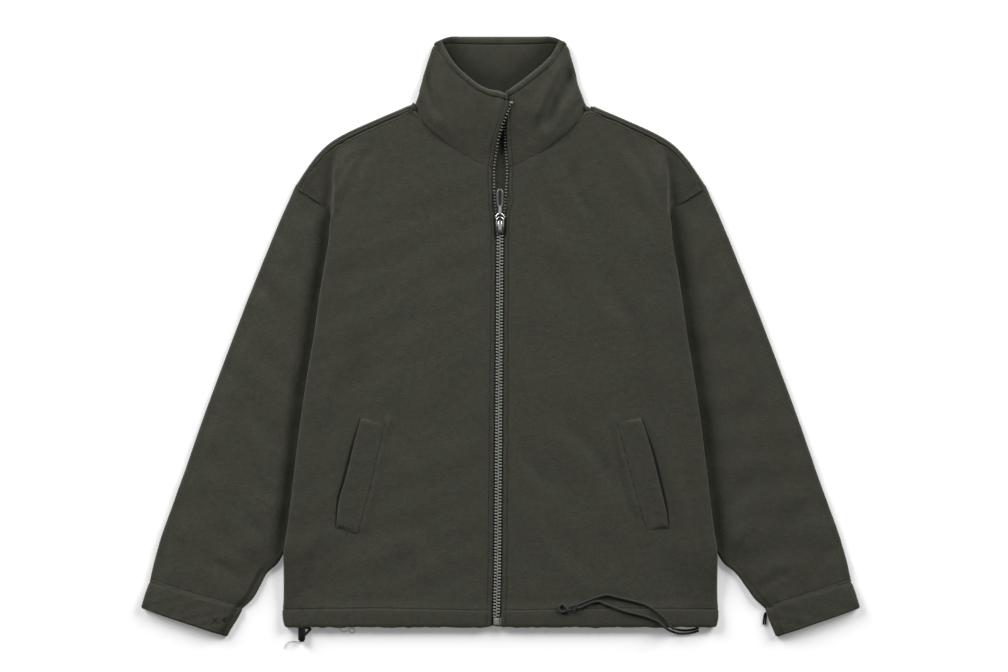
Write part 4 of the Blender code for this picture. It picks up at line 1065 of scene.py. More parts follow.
# %% Coarse form of the back
BACK_ROWS = np.array([
    -391, -381, -369, -350, -330, -311, -292, -262, -228, -190, -150, -110, -84, -75, -63, -45, -10,
    30, 70, 110, 145, 175,
], float)
NECK_SHARES = [0.0, 0.11, 0.22, 0.32]
SHOULDER_SHARES = [0.4313, 0.50, 0.57, 0.64, 0.715, 0.79, 0.86, 0.93, 1.0]


def back_height(x, y):
    """Outer face of the back, lifted where the sleeve is tucked under it."""
    tucked = path(SLEEVE_INNER, np.linspace(0, 1, 60))
    tucked = tucked[np.argsort(tucked[:, 1])]
    inner = np.where(y < -292, 290, np.interp(y, tucked[:, 1], tucked[:, 0]))
    return read(FOLD, y, 3) * smooth((-63 - y) / 19) * smooth((np.abs(x) - inner + 30) / 24)


def back_side(y):
    """Side edge of the back: beside the rolled front, then the armhole."""
    radius = (read(FOLD, y, 2) - read(FOLD, y, 3)) / 2
    return np.where(y <= -75, read(FOLD, y) - radius - 1.4, read(BACK_SIDE, y))


def back_form():
    """Rows up the back and over the shoulder roll; columns from side to side."""
    shares = np.array(NECK_SHARES + SHOULDER_SHARES)
    roll, tip = SHOULDER_ROLL, SHOULDER[-1]
    inward = np.array([tip[2] - tip[0], tip[3] - tip[1]])
    inward /= np.linalg.norm(inward)
    top_width = tip[0] + roll * inward[0]
    shoulder = np.arange(len(shares)) >= len(NECK_SHARES)
    along = np.clip((shares - SHOULDER_SHARES[0]) / (1 - SHOULDER_SHARES[0]), 0, 1)
    edge, seam = path(SHOULDER[:, :2], along), path(SHOULDER[:, 2:], along)
    way = unit(seam - edge)
    start, neck_x = edge + roll * way, shares * top_width
    neck = np.column_stack([neck_x, np.interp(neck_x, BACK_NECK[:, 0], BACK_NECK[:, 1])])
    start[~shoulder] = neck[~shoulder]
    up = (BACK_ROWS - HEM_Y) / (start[-1, 1] - HEM_Y)
    x = shares[None, :] * back_side(BACK_ROWS)[:, None]
    x = x + smooth((up[:, None] - 0.75) / 0.25) * (start[:, 0] - shares * top_width)
    y = HEM_Y + (start[:, 1] - HEM_Y)[None, :] * up[:, None]
    rows = [np.stack([x, y, back_height(x, y)], -1), np.column_stack([start, np.zeros(len(start))])[None]]
    for angle in np.radians([36, 72, 108, 144, 180]):
        plan = edge + roll * (1 - math.sin(angle)) * way
        rows.append(np.column_stack([plan, np.full(len(plan), roll * (1 - math.cos(angle)))])[None])
    rows.append(np.column_stack([seam, np.full(len(seam), FRONT_TOP)])[None])
    half = np.concatenate(rows, axis=0)
    mirrored = half[:, :0:-1] * np.array([-1.0, 1.0, 1.0])
    return np.concatenate([mirrored, half], axis=1)


BACK_CREASES = [
    (-190, 120, 160, 60, 14, 20, 1.4), (-150, -90, 210, -150, -20, 24, 1.2),
    (-210, -250, 120, -290, 12, 18, 1.2), (-60, 250, 70, 262, 8, 10, 1.0),
    (-225, 90, -200, -70, 6, 12, 1.0), (222, 60, 196, -90, -6, 12, 1.0),
]


def back():
    """The back: its roll over the shoulders ends at a topstitched seam; the neck is left open.

    The side on the board only moves inwards, up to 2 mm, so that it stays flat where it rests."""
    form = back_form()
    heights, widths = mean_run(form), mean_run(form.transpose(1, 0, 2))
    grid, up, out, height, _ = refine(form, 5.0, row_lines=[HEM_STITCH, -SHOULDER_STITCH])
    way = normals(grid)
    x, y = grid[..., 0], grid[..., 1]
    middle = form.shape[1] // 2
    neck_start, neck = heights[len(BACK_ROWS)], widths[middle + len(NECK_SHARES)] - widths[middle]
    over = 0.5 * (up[:-1] + up[1:]) > neck_start
    within = np.abs(0.5 * (out[:, :-1] + out[:, 1:]) - widths[middle]) < neck
    hem = np.clip(1 - up / 30, 0, 1)
    drop = (0.9 * ripple(x, 91, 30, 90, 5) + 0.4 * ripple(x, 93, 9, 26)) * hem ** 2
    move = stitched(height - up, SHOULDER_STITCH, 0.7, 0.45, 0.8) * (up > neck_start)
    move = move + stitched(up, HEM_STITCH, 0.5, 0.0, 2.0)
    lying = smooth((-way[..., 2] - 0.3) / 0.4)
    pressed = np.minimum(0, soft_creases(x, y, BACK_CREASES))
    move = move + lying * smooth((up - 30) / 30) * (pressed - 0.25 - 0.25 * billow(x, y, 8, 40, 110))
    outer = grid + way * move[..., None]
    wall = np.where(up < HEM_STITCH + 0.2, HEM_WALL, WALL) + 0 * out
    inner = grid - way * wall[..., None]
    for face, least in ((outer, 0.0), (inner, 0.15)):
        face[..., 1] += drop
        face[..., 2] = np.maximum(face[..., 2], least)
    seam = np.maximum(0.8 * seam_mark(height - up, SHOULDER_STITCH) + 0 * out,
                      0.85 * seam_mark(up, HEM_STITCH) + 0 * out)
    made = cloth("back", outer, inner, FLEECE, keep=~(over & within), turn=True, seam=seam)
    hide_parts("back_panel")
    return made, outer, inner, up, height


back_cloth = back()

# %% [markdown]
# ## Sleeves and cuffs
#
# A sleeve lying on its side is a flattened tube: an upper layer, a tight turn at each fold, and an under
# layer on the board. Each ring of points runs once round it. Beside the body it is pressed low by the side
# fold and tucked in under it; beyond, it swells. The end of the wearer's right sleeve is a little fuller,
# and there the under layer shows as a strip along the inner edge. The cuff is a doubled band of the same
# cloth, pinched where it is sewn on.

# %% Flattened tubes
TOP_STEPS = np.array([0, 0.02, 0.05, 0.09, 0.16, 0.25, 0.35, 0.46, 0.58, 0.70, 0.81, 0.89, 0.95, 0.98, 1.0])
UNDER_STEPS = np.array([1.0, 0.97, 0.9, 0.75, 0.55, 0.35, 0.15, 0.05, 0.0])
TURN = np.radians([22.5, 45, 67.5, 90, 112.5, 135, 157.5])


def sample(curve, distances):
    """Points of a polyline at distances along it."""
    run = run_of(curve)
    return np.column_stack([np.interp(distances(run[-1]), run, curve[:, k]) for k in (0, 1)])


def flat_tube(tops, unders, edge_out, edge_in, height):
    """Rings of a flattened tube; each curve of tops and unders runs from the outer fold to the inner one.

    The folds are half circles as thick as edge_out and edge_in; between them the top keeps its height."""
    rings = []
    for top, under, out_r, in_r in zip(tops, unders, edge_out / 2, edge_in / 2):
        upper = sample(top, lambda full: out_r + (full - out_r - in_r) * TOP_STEPS)
        lower = sample(under, lambda full: out_r + (full - out_r - in_r) * UNDER_STEPS)
        reach = np.linalg.norm(top[-1] - top[0])
        level = height(upper[:, 0], upper[:, 1])
        level = 2 * out_r + (level - 2 * out_r) * smooth(TOP_STEPS * reach / 26)
        level = 2 * in_r + (level - 2 * in_r) * smooth((1 - TOP_STEPS) * reach / 26)
        turn_in = [sample(top if a <= math.pi / 2 else under,
                          lambda full: np.array([full - in_r * (1 - math.sin(a))])) for a in TURN]
        turn_out = [sample(under if a > math.pi / 2 else top,
                           lambda full: np.array([out_r * (1 - math.sin(a))])) for a in TURN[::-1]]
        z = np.concatenate([level, in_r * (1 + np.cos(TURN)), np.zeros(len(lower)),
                            out_r * (1 + np.cos(TURN[::-1]))])
        rings.append(np.column_stack([np.vstack([upper] + turn_in + [lower] + turn_out), z]))
    return np.array(rings)


INNER_END = np.array([(294, -296), (315, -316), (342, -352), (357.5, -367.5), (364.4, -387.4),
                      (372.6, -406.0)])


def fuller(y, side):
    """How much wider the end of the wearer's right sleeve is at its inner edge: 9 mm at the cuff's seam."""
    return (9.0 * smooth((-298 - y) / 64) - 6.0 * smooth((-364 - y) / 40)) * (side < 0)


def widen(rings, side):
    """Move the inner edge out by that much, and the rest in proportion to its nearness."""
    near = 1 - smooth((rings[..., 0] - np.interp(-rings[..., 1], -INNER_END[:, 1], INNER_END[:, 0])) / 90)
    rings[..., 0] -= near * fuller(rings[..., 1], side)
    rings[..., 0] *= side
    return rings


def sleeve_form(side):
    """Rings down the sleeve, square to both of its folds, starting on the armhole's curve."""
    stations = np.array([0, 0.03, 0.07, 0.12, 0.18, 0.25, 0.32, 0.39, 0.46, 0.53, 0.6, 0.67, 0.74, 0.81,
                         0.88, 0.94, 1.0])
    outer, inner = path(SLEEVE_OUTER, stations), path(SLEEVE_INNER, stations)
    way_out, way_in = (
        unit(path(edge, np.clip(stations + 0.01, 0, 1)) - path(edge, np.clip(stations - 0.01, 0, 1)))
        for edge in (SLEEVE_OUTER, SLEEVE_INNER)
    )
    from_out = outer + 40 * np.column_stack([way_out[:, 1], -way_out[:, 0]])
    reach = np.interp(stations, [0, 0.03, 0.07, 0.12, 0.2, 0.35, 1], [20, 26, 30, 36, 45, 50, 42])[:, None]
    from_in = inner + reach * np.column_stack([-way_in[:, 1], way_in[:, 0]])
    t = np.linspace(0, 1, 90)[None, :, None]
    p0, p1, p2, p3 = (p[:, None, :] for p in (outer, from_out, from_in, inner))
    across = p0 * (1 - t) ** 3 + 3 * p1 * (1 - t) ** 2 * t + 3 * p2 * (1 - t) * t ** 2 + p3 * t ** 3
    straight = smooth((stations - 0.85) / 0.15)[:, None, None]
    across = across * (1 - straight) + (p0 * (1 - t) + p3 * t) * straight
    fade = 1 - smooth(stations[:, None, None] / (0.30 * (1 - t) ** 1.5 + 1e-3))
    heads = [path(head, np.linspace(0, 1, 90)) - across[0]
             for head in (SLEEVE_HEAD_FRONT, SLEEVE_HEAD_BACK)]
    edge_out = 7.0 + 1.2 * (1 - smooth(stations / 0.08))
    edge_in = SLEEVE_LOW + 1.4 * smooth((stations - 0.72) / 0.2)
    rings = flat_tube(across + fade * heads[0], across + fade * heads[1], edge_out, edge_in, arm_height)
    return widen(rings, side)


STRIP_WIDTH = 9.6
STRIP_DROP = {-1: 0.36, 1: 0.14}


def strip(x, y, side):
    """Where the under layer shows along the inner edge, and how far inside that edge a point is."""
    inside = 0.74 * (x - np.interp(-y, -INNER_END[:, 1], INNER_END[:, 0]) + fuller(y, side))
    return smooth((-300 - y) / 24), inside


SLEEVE_CREASES = [
    # for the wearer's left; the other sleeve has them mirrored and 14 mm higher
    (330, 66, 292, -20, 8, 12, 1.3), (372, -60, 320, -150, 10, 15, 1.2), (300, 130, 270, 60, 4, 9, 0.9),
    (352, -170, 300, -235, -8, 12, 1.1), (428, -214, 372, -300, 9, 14, 1.1),
    (452, -282, 420, -330, 4, 9, 0.9), (392, -318, 350, -344, 4, 8, 1.1), (340, -262, 318, -312, 3, 8, 1.0),
    (410, -130, 384, -200, 5, 12, 0.8),
]
PRESSED_BAND = {-1: 22.0, 1: 27.0}


def sleeve(side, name, node):
    """A dressed sleeve: creases, billows, a pressed armhole seam and a standing edge at the cuff.

    Within its band beside the body it lies 2.6 mm lower, and it rises 3.4 mm over the band's edge; at the
    underarm its inner fold is drawn 10 mm farther in, so that no gap shows under the body's side."""
    grid, down, around, length, _ = refine(sleeve_form(side), 3.4, row_lines=[-SLEEVE_STITCH], ring=True)
    x, y = side * grid[..., 0], grid[..., 1]
    low, inside = strip(x, y, side)
    grid[..., 2] *= 1 - STRIP_DROP[side] * low * smooth((STRIP_WIDTH - inside) / 2.0)
    past_fold, beside_body = x - read(FOLD, y), smooth((y + 310) / 40) * smooth((178 - y) / 34)
    tucked_in = 10.0 * hill((y + 98) / 52) * (1 - smooth((past_fold + 4) / 14))
    grid[..., 0] -= side * tucked_in
    band = PRESSED_BAND[side]
    rise = smooth((past_fold - 3) / (band - 3)) - smooth((past_fold - band) / 48)
    grid[..., 2] += 3.4 * rise * beside_body * np.clip(grid[..., 2] / SLEEVE_LOW, 0, 1) ** 2
    way = normals(grid, ring=True) * -side
    facing = smooth((way[..., 2] - 0.1) / 0.5)
    lying = smooth((-way[..., 2] - 0.3) / 0.4)
    shift = 14.0 if side < 0 else 0.0
    free = smooth(down / 30) * smooth((length - down) / 26)
    move = facing * free * (
        soft_creases(x, y - shift, SLEEVE_CREASES)
        + 0.55 * billow(x, y, 25 + side, 34, 95) + 0.10 * billow(x, y, 35 + side, 9, 20)
    )
    move = move + lying * free * np.minimum(0, soft_creases(x, y + 30, SLEEVE_CREASES) - 0.2)
    pressed = facing * np.clip((band - past_fold) / (band - 1), 0, 1) * beside_body
    move = move - 2.6 * pressed
    edge = length - down
    move = move - 0.15 * np.clip(1 - down / 2.0, 0, 1) ** 2 + stitched(edge, SLEEVE_STITCH, 0.35, 0.15, 0.9)
    move = move + facing * 0.30 * ripple(around + 0 * down, 41 + side, 14, 34) * hill(edge / 12)
    outer = grid + way * move[..., None]
    outer[..., 2] = np.maximum(outer[..., 2], 0.0)
    seam = np.maximum.reduce([
        0.35 * seam_mark(down, 0.0) + 0 * around, 0.35 * seam_mark(edge, SLEEVE_STITCH) + 0 * around,
        # painted shade: a dark line along the top layer's edge, where the under layer shows below it
        1.6 * STRIP_DROP[side] * low * facing * hill((inside - 8.2) / 1.6),
    ])
    wall = (SLEEVE_WALL + 1.1 * pressed)[..., None]
    outer, inner = tucked(outer, grid - way * wall, 5.0, 0.1)
    for face in (outer, inner):
        face[0, :, 2] = np.maximum(face[0, :, 2], 0.0)
    seam = np.concatenate([seam[:1], seam])
    down = np.concatenate([[[-5.0]], down])
    made = cloth(name, outer, inner, FLEECE, ring=True, turn=side < 0, seam=seam)
    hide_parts(node)
    return made, outer, inner, down, length


def cuff_form(side):
    """Five rings of a short flattened tube, 16% thicker than its solid."""
    stations = np.array([0.0, 0.15, 0.4, 0.75, 1.0])
    outer, inner = path(CUFF_OUTER, stations), path(CUFF_INNER, stations)
    edge = np.array([7.0, 7.7, 8.2, 8.2, 7.2])
    t = np.linspace(0, 1, 30)[None, :, None]
    across = outer[:, None] * (1 - t) + inner[:, None] * t
    rings = flat_tube(across, across, edge, edge, lambda x, y: np.full_like(x, 9.4))
    rings[..., 2] *= 1.16
    return widen(rings, side)


def cuff(side, name, node):
    """A doubled band: rounded at its free edge, pinched at the seam, with slight puffs round it."""
    grid, down, around, length, _ = refine(cuff_form(side), 2.4, row_lines=[2.0, -4.0], ring=True)
    low, inside = strip(side * grid[..., 0], grid[..., 1], side)
    inner_side = STRIP_DROP[side] * low * smooth((STRIP_WIDTH - inside) / 2.0)
    grid[..., 2] *= 1 - 0.85 * inner_side
    way = normals(grid, ring=True) * -side
    facing = smooth((way[..., 2] - 0.1) / 0.5)
    edge = length - down
    move = stitched(edge, 4.0, 0.0, 0.15, 2.4) - 0.5 * np.clip(1 - down / 3.0, 0, 1) ** 2
    move = move + facing * (0.25 * ripple(around + 0 * down, 61 + side, 16, 42) * smooth(down / 8)
                            + 0.14 * ripple(down + 0.6 * around, 66 + side, 12, 30))
    outer = grid + way * move[..., None]
    outer[..., 2] = np.maximum(outer[..., 2], 0.0)
    # the seam's pressed line, and painted shade along the top layer's edge over the under layer's strip
    seam = np.maximum(0.6 * seam_mark(down, 0.0, 1.0) + 0 * around,
                      1.6 * STRIP_DROP[side] * facing * hill((inside - 8.2) / 1.6))
    outer, inner = tucked(outer, grid - way * (CUFF_WALL - 1.8 * inner_side)[..., None], 4.5, 0.9)
    seam = np.concatenate([seam[:1], seam])
    made = cloth(name, outer, inner, FLEECE, ring=True, turn=side < 0, seam=seam)
    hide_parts(node)
    return made, outer


sleeves = {-1: sleeve(-1, "right_sleeve", "sleeve_right"), 1: sleeve(1, "left_sleeve", "sleeve_left")}
cuffs = {-1: cuff(-1, "right_cuff", "cuff_right"), 1: cuff(1, "left_cuff", "cuff_left")}

# %% [markdown]
# ## Collar
#
# The stand collar is one C-shaped band. Laid flat, its back lies on the board with the inside up, it turns
# at each side, and its two fronts lie over it and meet in a V, the wearer's right one on top. Its top edge
# is turned in and stitched 9 mm down, which makes a soft roll; the fronts carry one long slack fold each.
# Inside, shade is painted: darker at the sides and towards the bottom of the V.

# %% Collar


def coons(base, top, start, end, w, v):
    """A surface filled between four edges, the sum of two ruled ones less the one through their corners.

    w runs from start to end, v from base to top."""
    w, v = w[None, :, None], v[:, None, None]
    corners = (base[0] * (1 - w) + base[-1] * w) * (1 - v) + (top[0] * (1 - w) + top[-1] * w) * v
    return base[None] * (1 - v) + top[None] * v + start[:, None] * (1 - w) + end[:, None] * w - corners


def collar_form():
    """Rows from the neck seam to the rim; columns from one front, round the back, to the other."""
    v = np.array([0, 0.16, 0.34, 0.52, 0.7, 0.86, 1.0])
    w = np.array([0, 0.04, 0.09, 0.2, 0.33, 0.47, 0.62, 0.76, 0.89, 0.96, 1.0])
    roll = COLLAR_TOP / 2
    inside = path(COLLAR_SIDE, v) - np.array([roll, 0.0])
    parts = []
    for side in (-1, 1):
        y = np.array([229.8, 245, 262, 285, 305, 316, 322])
        x = side * zip_edge(y, side) + CLOTH_IN - 2.2
        rim = np.array([(abs(px) if k > 1 else side * px, py) for k, (px, py) in enumerate(COLLAR_V[side])])
        opening = path(np.vstack([np.column_stack([x, y]), rim[:1]]), v)
        base, top = path(np.vstack([opening[:1], COLLAR_BASE]), w), path(rim, w)
        base[0], top[0], top[-1], base[-1] = opening[0], opening[-1], inside[-1], inside[0]
        plan = coons(base, top, opening, inside, w, v)
        lap = collar_lap(plan[..., 1], side, side * plan[..., 0])
        parts.append(np.concatenate([plan, (COLLAR_TOP + lap)[..., None]], axis=2))
    angles = np.radians(np.arange(18, 163, 18))
    bend = np.stack([
        inside[:, None, 0] + roll * np.sin(angles), np.repeat(inside[:, 1:], len(angles), axis=1),
        np.repeat(roll * (1 + np.cos(angles))[None], len(v), axis=0),
    ], -1)
    across = np.array([1.0, 0.96, 0.84, 0.66, 0.47, 0.25])
    base = np.column_stack([across * inside[0, 0], 295.6 + 14.8 * across ** 2])
    rim = np.column_stack([across * inside[-1, 0], 406.0 - 3.0 * smooth((across - 0.82) / 0.18)])
    far = np.column_stack([inside[:, 0] * 0.25, base[-1, 1] + (rim[-1, 1] - base[-1, 1]) * v])
    half = coons(base, rim, inside, far, (1 - across) / 0.75, v)
    half = np.concatenate([half, np.zeros(half.shape[:2] + (1,))], axis=2)
    middle = np.column_stack([np.zeros(len(v)), 295.6 + (406.0 - 295.6) * v, np.zeros(len(v))])[:, None]
    mirror = np.array([-1.0, 1.0, 1.0])
    grid = np.concatenate([parts[0] * mirror, bend * mirror, half * mirror, middle,
                           half[:, ::-1], bend[:, ::-1], parts[1][:, ::-1]], axis=1)
    # round the two top corners off, and fill the wearer's right side out a little
    reach = np.abs(grid[..., 0])
    grid[..., 1] -= 3.6 * smooth((reach - 76) / 11) * smooth((grid[..., 1] - 388) / 15)
    grid[..., 0] -= 2.2 * smooth((-grid[..., 0] - 60) / 30) * hill((grid[..., 1] - 352) / 30)
    return grid


COLLAR_CREASES = [
    # on the fronts: the slack fold from the rim towards the neck seam, on each side
    (-101, 366, -84, 296, 2, 6.5, 4.8), (-70, 350, -62, 280, 3, 9, 0.9), (-30, 318, -34, 250, -2, 8, 0.7),
    (102, 368, 62, 284, 3, 9.0, 6.6), (66, 300, 40, 262, 2, 8, 1.0), (34, 330, 30, 270, -3, 7, 0.8),
    (112, 318, 92, 296, 2, 6, 0.9), (-112, 320, -98, 298, -2, 6, 0.9),
]
BACK_COLLAR_CREASES = [
    (-60, 400, -76, 330, 2, 8, 0.8), (48, 398, 58, 340, -3, 9, 0.9), (-6, 396, 4, 330, 3, 12, 0.6),
]


def collar():
    """The dressed collar; its inner face is worked out too, because the V shows the inside of the back."""
    grid, up, out, height, width = refine(
        collar_form(), 2.6, row_lines=[3.0, -RIM_STITCH],
        column_lines=[COLLAR_END_STITCH, -COLLAR_END_STITCH])
    way = normals(grid)
    x, y = grid[..., 0], grid[..., 1]
    facing, lying = smooth((way[..., 2] - 0.1) / 0.5), smooth((-way[..., 2] - 0.3) / 0.4)
    rim, end = height - up, np.minimum(out, width - out)
    roll = stitched(rim, RIM_STITCH, 0.65, 0.95, 2.2)
    free = smooth(end / 14) * smooth(up / 12) * smooth((rim + 4) / 16)
    wave = 0.25 * ripple(out + 0 * up, 71, 10, 24) * hill((rim - 9) / 7)
    slack = free * (facing * soft_creases(x, y, COLLAR_CREASES) + 0.30 * billow(x, y, 72, 26, 70)
                    + 0.10 * billow(x, y, 73, 9, 20))
    at_ends = stitched(end, COLLAR_END_STITCH, 0.65, 0.30, 1.4)
    left_hand = smooth((out / width - 0.5) / 0.2)
    neck = -(0.4 + 1.0 * facing) * np.clip(1 - up / (36.0 - 20.0 * left_hand), 0, 1) ** 2
    v_line = np.array(COLLAR_V[-1][:0:-1] + COLLAR_V[1])
    above = y - np.interp(x, v_line[:, 0], v_line[:, 1])
    # painted shade inside the back of the collar, towards the V's edges and at the sides
    shaded = lying * (2.3 * hill(above / 31) + 1.0 * hill((np.abs(x) - 72) / 14) + 0.10).clip(0, 2)
    stand = facing * collar_stand(x, y)
    outer = grid + way * ((roll + wave) * (1 - lying) + at_ends + slack + neck)[..., None]
    outer[..., 2] = np.maximum(outer[..., 2], 0.0) + stand
    seen = lying * (soft_creases(x, y, BACK_COLLAR_CREASES) + 0.25 * billow(x, y, 74, 26, 70)) * free
    thick = COLLAR_WALL + 0.8 * roll * lying + 0.3 * wave + seen - 0.8 * np.clip(1 - rim / 2.0, 0, 1) ** 2
    inner = grid + way * (facing * slack)[..., None] - way * thick[..., None]
    inner[..., 2] += stand
    seam = np.maximum.reduce([
        0.7 * seam_mark(rim, RIM_STITCH) + 0 * out, 0.8 * seam_mark(end, COLLAR_END_STITCH) + 0 * up,
        shaded, 0.30 * seam_mark(up, 0.0, 0.8) * left_hand,
    ])
    outer, inner = tucked(outer, inner, (1.0 + 3.6 * (1 - facing - lying)[:1, :, None]).clip(1.0, 4.6), 0.4)
    seam, up = np.concatenate([seam[:1], seam]), np.concatenate([[[-1.0]], up])
    made = cloth("stand_collar", outer, inner, FLEECE, turn=True, seam=seam)
    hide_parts("collar")
    return made, outer, inner, up, out, height, width


collar_cloth = collar()

# %% [markdown]
# ## Pocket welts
#
# A welt is a strip of cloth sewn down along its inner edge and both ends, and left open along its outer
# edge, where the hand goes in. So its section is a wedge: thin and pressed at the inner edge, a rounded
# standing edge at the opening, and beside that a dark sheet pointed at both ends, the slit's painted shadow.

# %% Pocket welts
WELT_DOWN = np.concatenate([[0, 0.004, 0.012, 0.02, 0.03, 0.045], np.linspace(0.07, 0.93, 50),
                            [0.955, 0.97, 0.98, 0.988, 0.996, 1.0]])
WELT_ACROSS = np.array([0, 0.012, 0.03, 0.06, 0.11, 0.18, 0.26, 0.35, 0.45, 0.55, 0.65, 0.74, 0.82, 0.88,
                        0.93, 0.97, 1.0])


def welt(side, name, node):
    """A wedge section carried down the pocket, with its ends sewn down.

    Its height is 2.55 mm at the opening and 0.3 mm at the inner edge, times a quarter round at the
    opening, and a quarter of that at both ends."""
    down, t = WELT_DOWN, WELT_ACROSS[None, :]
    rows = path(WELTS[side], down)
    length = np.linalg.norm(rows[-1] - rows[0])
    x = rows[:, 0][:, None] * (1 - t) + rows[:, 2][:, None] * t
    y = rows[:, 1][:, None] * (1 - t) + rows[:, 3][:, None] * t
    end = (np.minimum(down, 1 - down) * length)[:, None]
    round_off = np.sqrt(np.clip(1 - (1 - np.clip(t * 34 / 2.6, 0, 1)) ** 2, 0, 1))
    crown = (2.55 - 2.25 * smooth((t - 0.10) / 0.90)) * round_off * (0.25 + 0.75 * smooth(end / 7.0))
    crown = crown + 0.14 * billow(x, y, 83 + side, 12, 40) * smooth(end / 8) * smooth((1 - t) / 0.3)
    under = front_height(side * x, y, side)
    top = np.stack([side * x, y, under + 0.12 + np.maximum(crown, 0.12)], -1)
    low = np.stack([side * x, y, under + 0.05 + 0 * t], -1)
    seam = np.maximum(0.75 * hill((1 - t) / 0.035) + 0 * end,
                      (1.0 - 0.7 * down[:, None]) * hill(end / 1.1) + 0 * t)
    made = cloth(name, top, low, FLEECE, turn=side > 0, seam=seam)
    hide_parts(node)
    return made


def pocket_opening(side, name):
    """A dark sheet beside a welt, the painted shadow of its slit: half of it 0.25 mm wide at the ends and
    2.1 mm more at the middle.
    """
    s = np.linspace(0, 1, 70)
    line = path(WELTS[side], 0.008 + 0.984 * s)[:, :2]
    open_by = (0.25 + 2.1 * np.sin(math.pi * s) ** 0.7)[:, None]
    u = np.array([-1.0, -0.4, 0.0, 0.35, 0.7, 1.0])[None, :]
    px, py = line[:, 0][:, None] + 0.7 * open_by + open_by * u, line[:, 1][:, None] + 0 * u
    _, dip = pocket_relief(side * px, py, side)
    slit = np.stack([side * px, py, front_height(side * px, py, side) + dip + 0.75 - 0.15 * u ** 2], -1)
    # a dark sheet just above the cloth: painted shadow of the pocket's mouth
    shadow = cloth(name, slit, slit - np.array([0, 0, 0.35]), PAINTED_POCKET_SHADOW, turn=side < 0)


for side, name, node in ((-1, "right_welt", "welt_right"), (1, "left_welt", "welt_left")):
    welt(side, name, node)
    pocket_opening(side, name + "_opening")

# %% [markdown]
# ## Zip
#
# A moulded zip: woven tapes sewn under the front edges, teeth moulded round each tape's cord, a retainer
# box and pin at the hem, and a slider that stands just below the collar with its tab flipped up. Below the
# slider the teeth of the two rows lie between each other; above it the rows part, then the wearer's right
# one crosses over the other. Teeth are one small template repeated along the edge.

# %% Tapes


def zip_lift(x, y, side):
    """How much higher the zip lies at the collar, whose fronts lap and stand up."""
    return collar_lap(y, side, x) * TAPE_LAP / COLLAR_LAP + collar_stand(x, y)


def zip_tape(side, name, node, top):
    """A strip a fixed distance from the free edge of the teeth, 0.8 mm thick, on lines 3 mm apart."""
    y = np.linspace(-389.0, top, 240)[:, None]
    away = np.linspace(TAPE_IN, TAPE_OUT, 9)[None, :]
    x = zip_edge(y, side) + side * away
    face = np.stack([x, y + 0 * away, 5.3 + zip_lift(x, y + 0 * away, side)], -1)
    made = cloth(name, face, face - np.array([0, 0, 0.8]), TAPE, turn=side > 0)
    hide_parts(node)
    return made


tapes = {-1: zip_tape(-1, "right_tape", "zip_tape_right", 316.0),
         1: zip_tape(1, "left_tape", "zip_tape_left", 318.0)}

# %% Many copies of one small shape


def copies(rings, places_at, way, side, up):
    """The rings (in along, across, up) of one shape, set at every place in its own three directions."""
    rings = np.asarray(rings, float)
    points, faces = tube_mesh(rings)
    full = (places_at[:, None] + points[None, :, :1] * way[:, None] + points[None, :, 1:2] * side[:, None]
            + points[None, :, 2:] * up[:, None])
    shift = (np.arange(len(places_at)) * len(points))[:, None, None]
    return full.reshape(-1, 3), [(f[None] + shift).reshape(-1, f.shape[1]) for f in faces]


TOOTH_PITCH, TOOTH_SIDES, OPEN_Y, OPEN_LENGTH, OPEN_WIDTH = 4.2, 8, 158.0, 0.52, 0.70
TOOTH = [
    # distance from the free edge, half width along the row, half height: from the head to the tape's cord
    (-0.95, 0.42, 0.70), (-0.70, 0.85, 1.10), (0.30, 1.02, 1.28), (1.30, 0.98, 1.30),
    (3.20, 1.36, 1.46), (4.15, 1.30, 1.40), (TEETH_WIDTH, 0.85, 1.00),
]


def teeth(side, name, node):
    """One row of teeth, square to the edge with a slight tilt drawn for each.

    Above the slider only their outer part shows past the cloth, so each is shorter and slimmer there."""
    y = np.arange(-378.2 + (0 if side < 0 else TOOTH_PITCH / 2), 314.5, TOOTH_PITCH)
    ends = np.stack([np.column_stack([zip_edge(y + d, side), y + d]) for d in (-1.0, 1.0)])
    tangent = unit(ends[1] - ends[0])
    draw = np.random.default_rng(140 + side)
    tilt = 0.10 * -side + draw.normal(0, 0.035, len(y))
    back = unit(np.column_stack([side * tangent[:, 1], -side * tangent[:, 0]]) + tilt[:, None] * tangent)
    run = np.column_stack([-back[:, 1], back[:, 0]])
    middle = zip_edge(y, side) + side * 2.0
    lift = 5.9 + zip_lift(middle, y, side)
    outline = rounded(1.0, 1.0, TOOTH_SIDES, 0.7)
    spots, flat = np.column_stack([ends.mean(axis=0), lift]), np.zeros((len(y), 1))
    upright = np.tile([0.0, 0.0, 1.0], (len(y), 1))
    parts = []
    for some, reach, slim in ((y < OPEN_Y, 1.0, 1.0), (y >= OPEN_Y, OPEN_LENGTH, OPEN_WIDTH)):
        rings = [np.column_stack([np.full(TOOTH_SIDES, TEETH_WIDTH - (TEETH_WIDTH - d) * reach),
                                  half * slim * outline[:, 0], tall * outline[:, 1]])
                 for d, half, tall in TOOTH]
        parts.append(copies(rings, spots[some], np.hstack([back, flat])[some],
                            np.hstack([run, flat])[some], upright[some]))
    points, faces = together(parts)
    if side > 0:
        faces = [f[:, ::-1] for f in faces]
    made = write_mesh(name, points, faces, TEETH)
    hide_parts(node)
    return made


teeth(-1, "right_teeth", "zip_teeth_right")
teeth(1, "left_teeth", "zip_teeth_left")

# %% Retainer box, pin and top stops


def slab(outline, profile, count=64):
    """A plate with rounded edges: the closed outline at each height, drawn in by the profile's inset."""
    ring = path(np.vstack([outline, outline[:1]]), np.linspace(0, 1, count, endpoint=False))
    inward = unit(ring.mean(axis=0) - ring)
    return tube_mesh([np.column_stack([ring + inward * inset, np.full(count, z)]) for z, inset in profile])


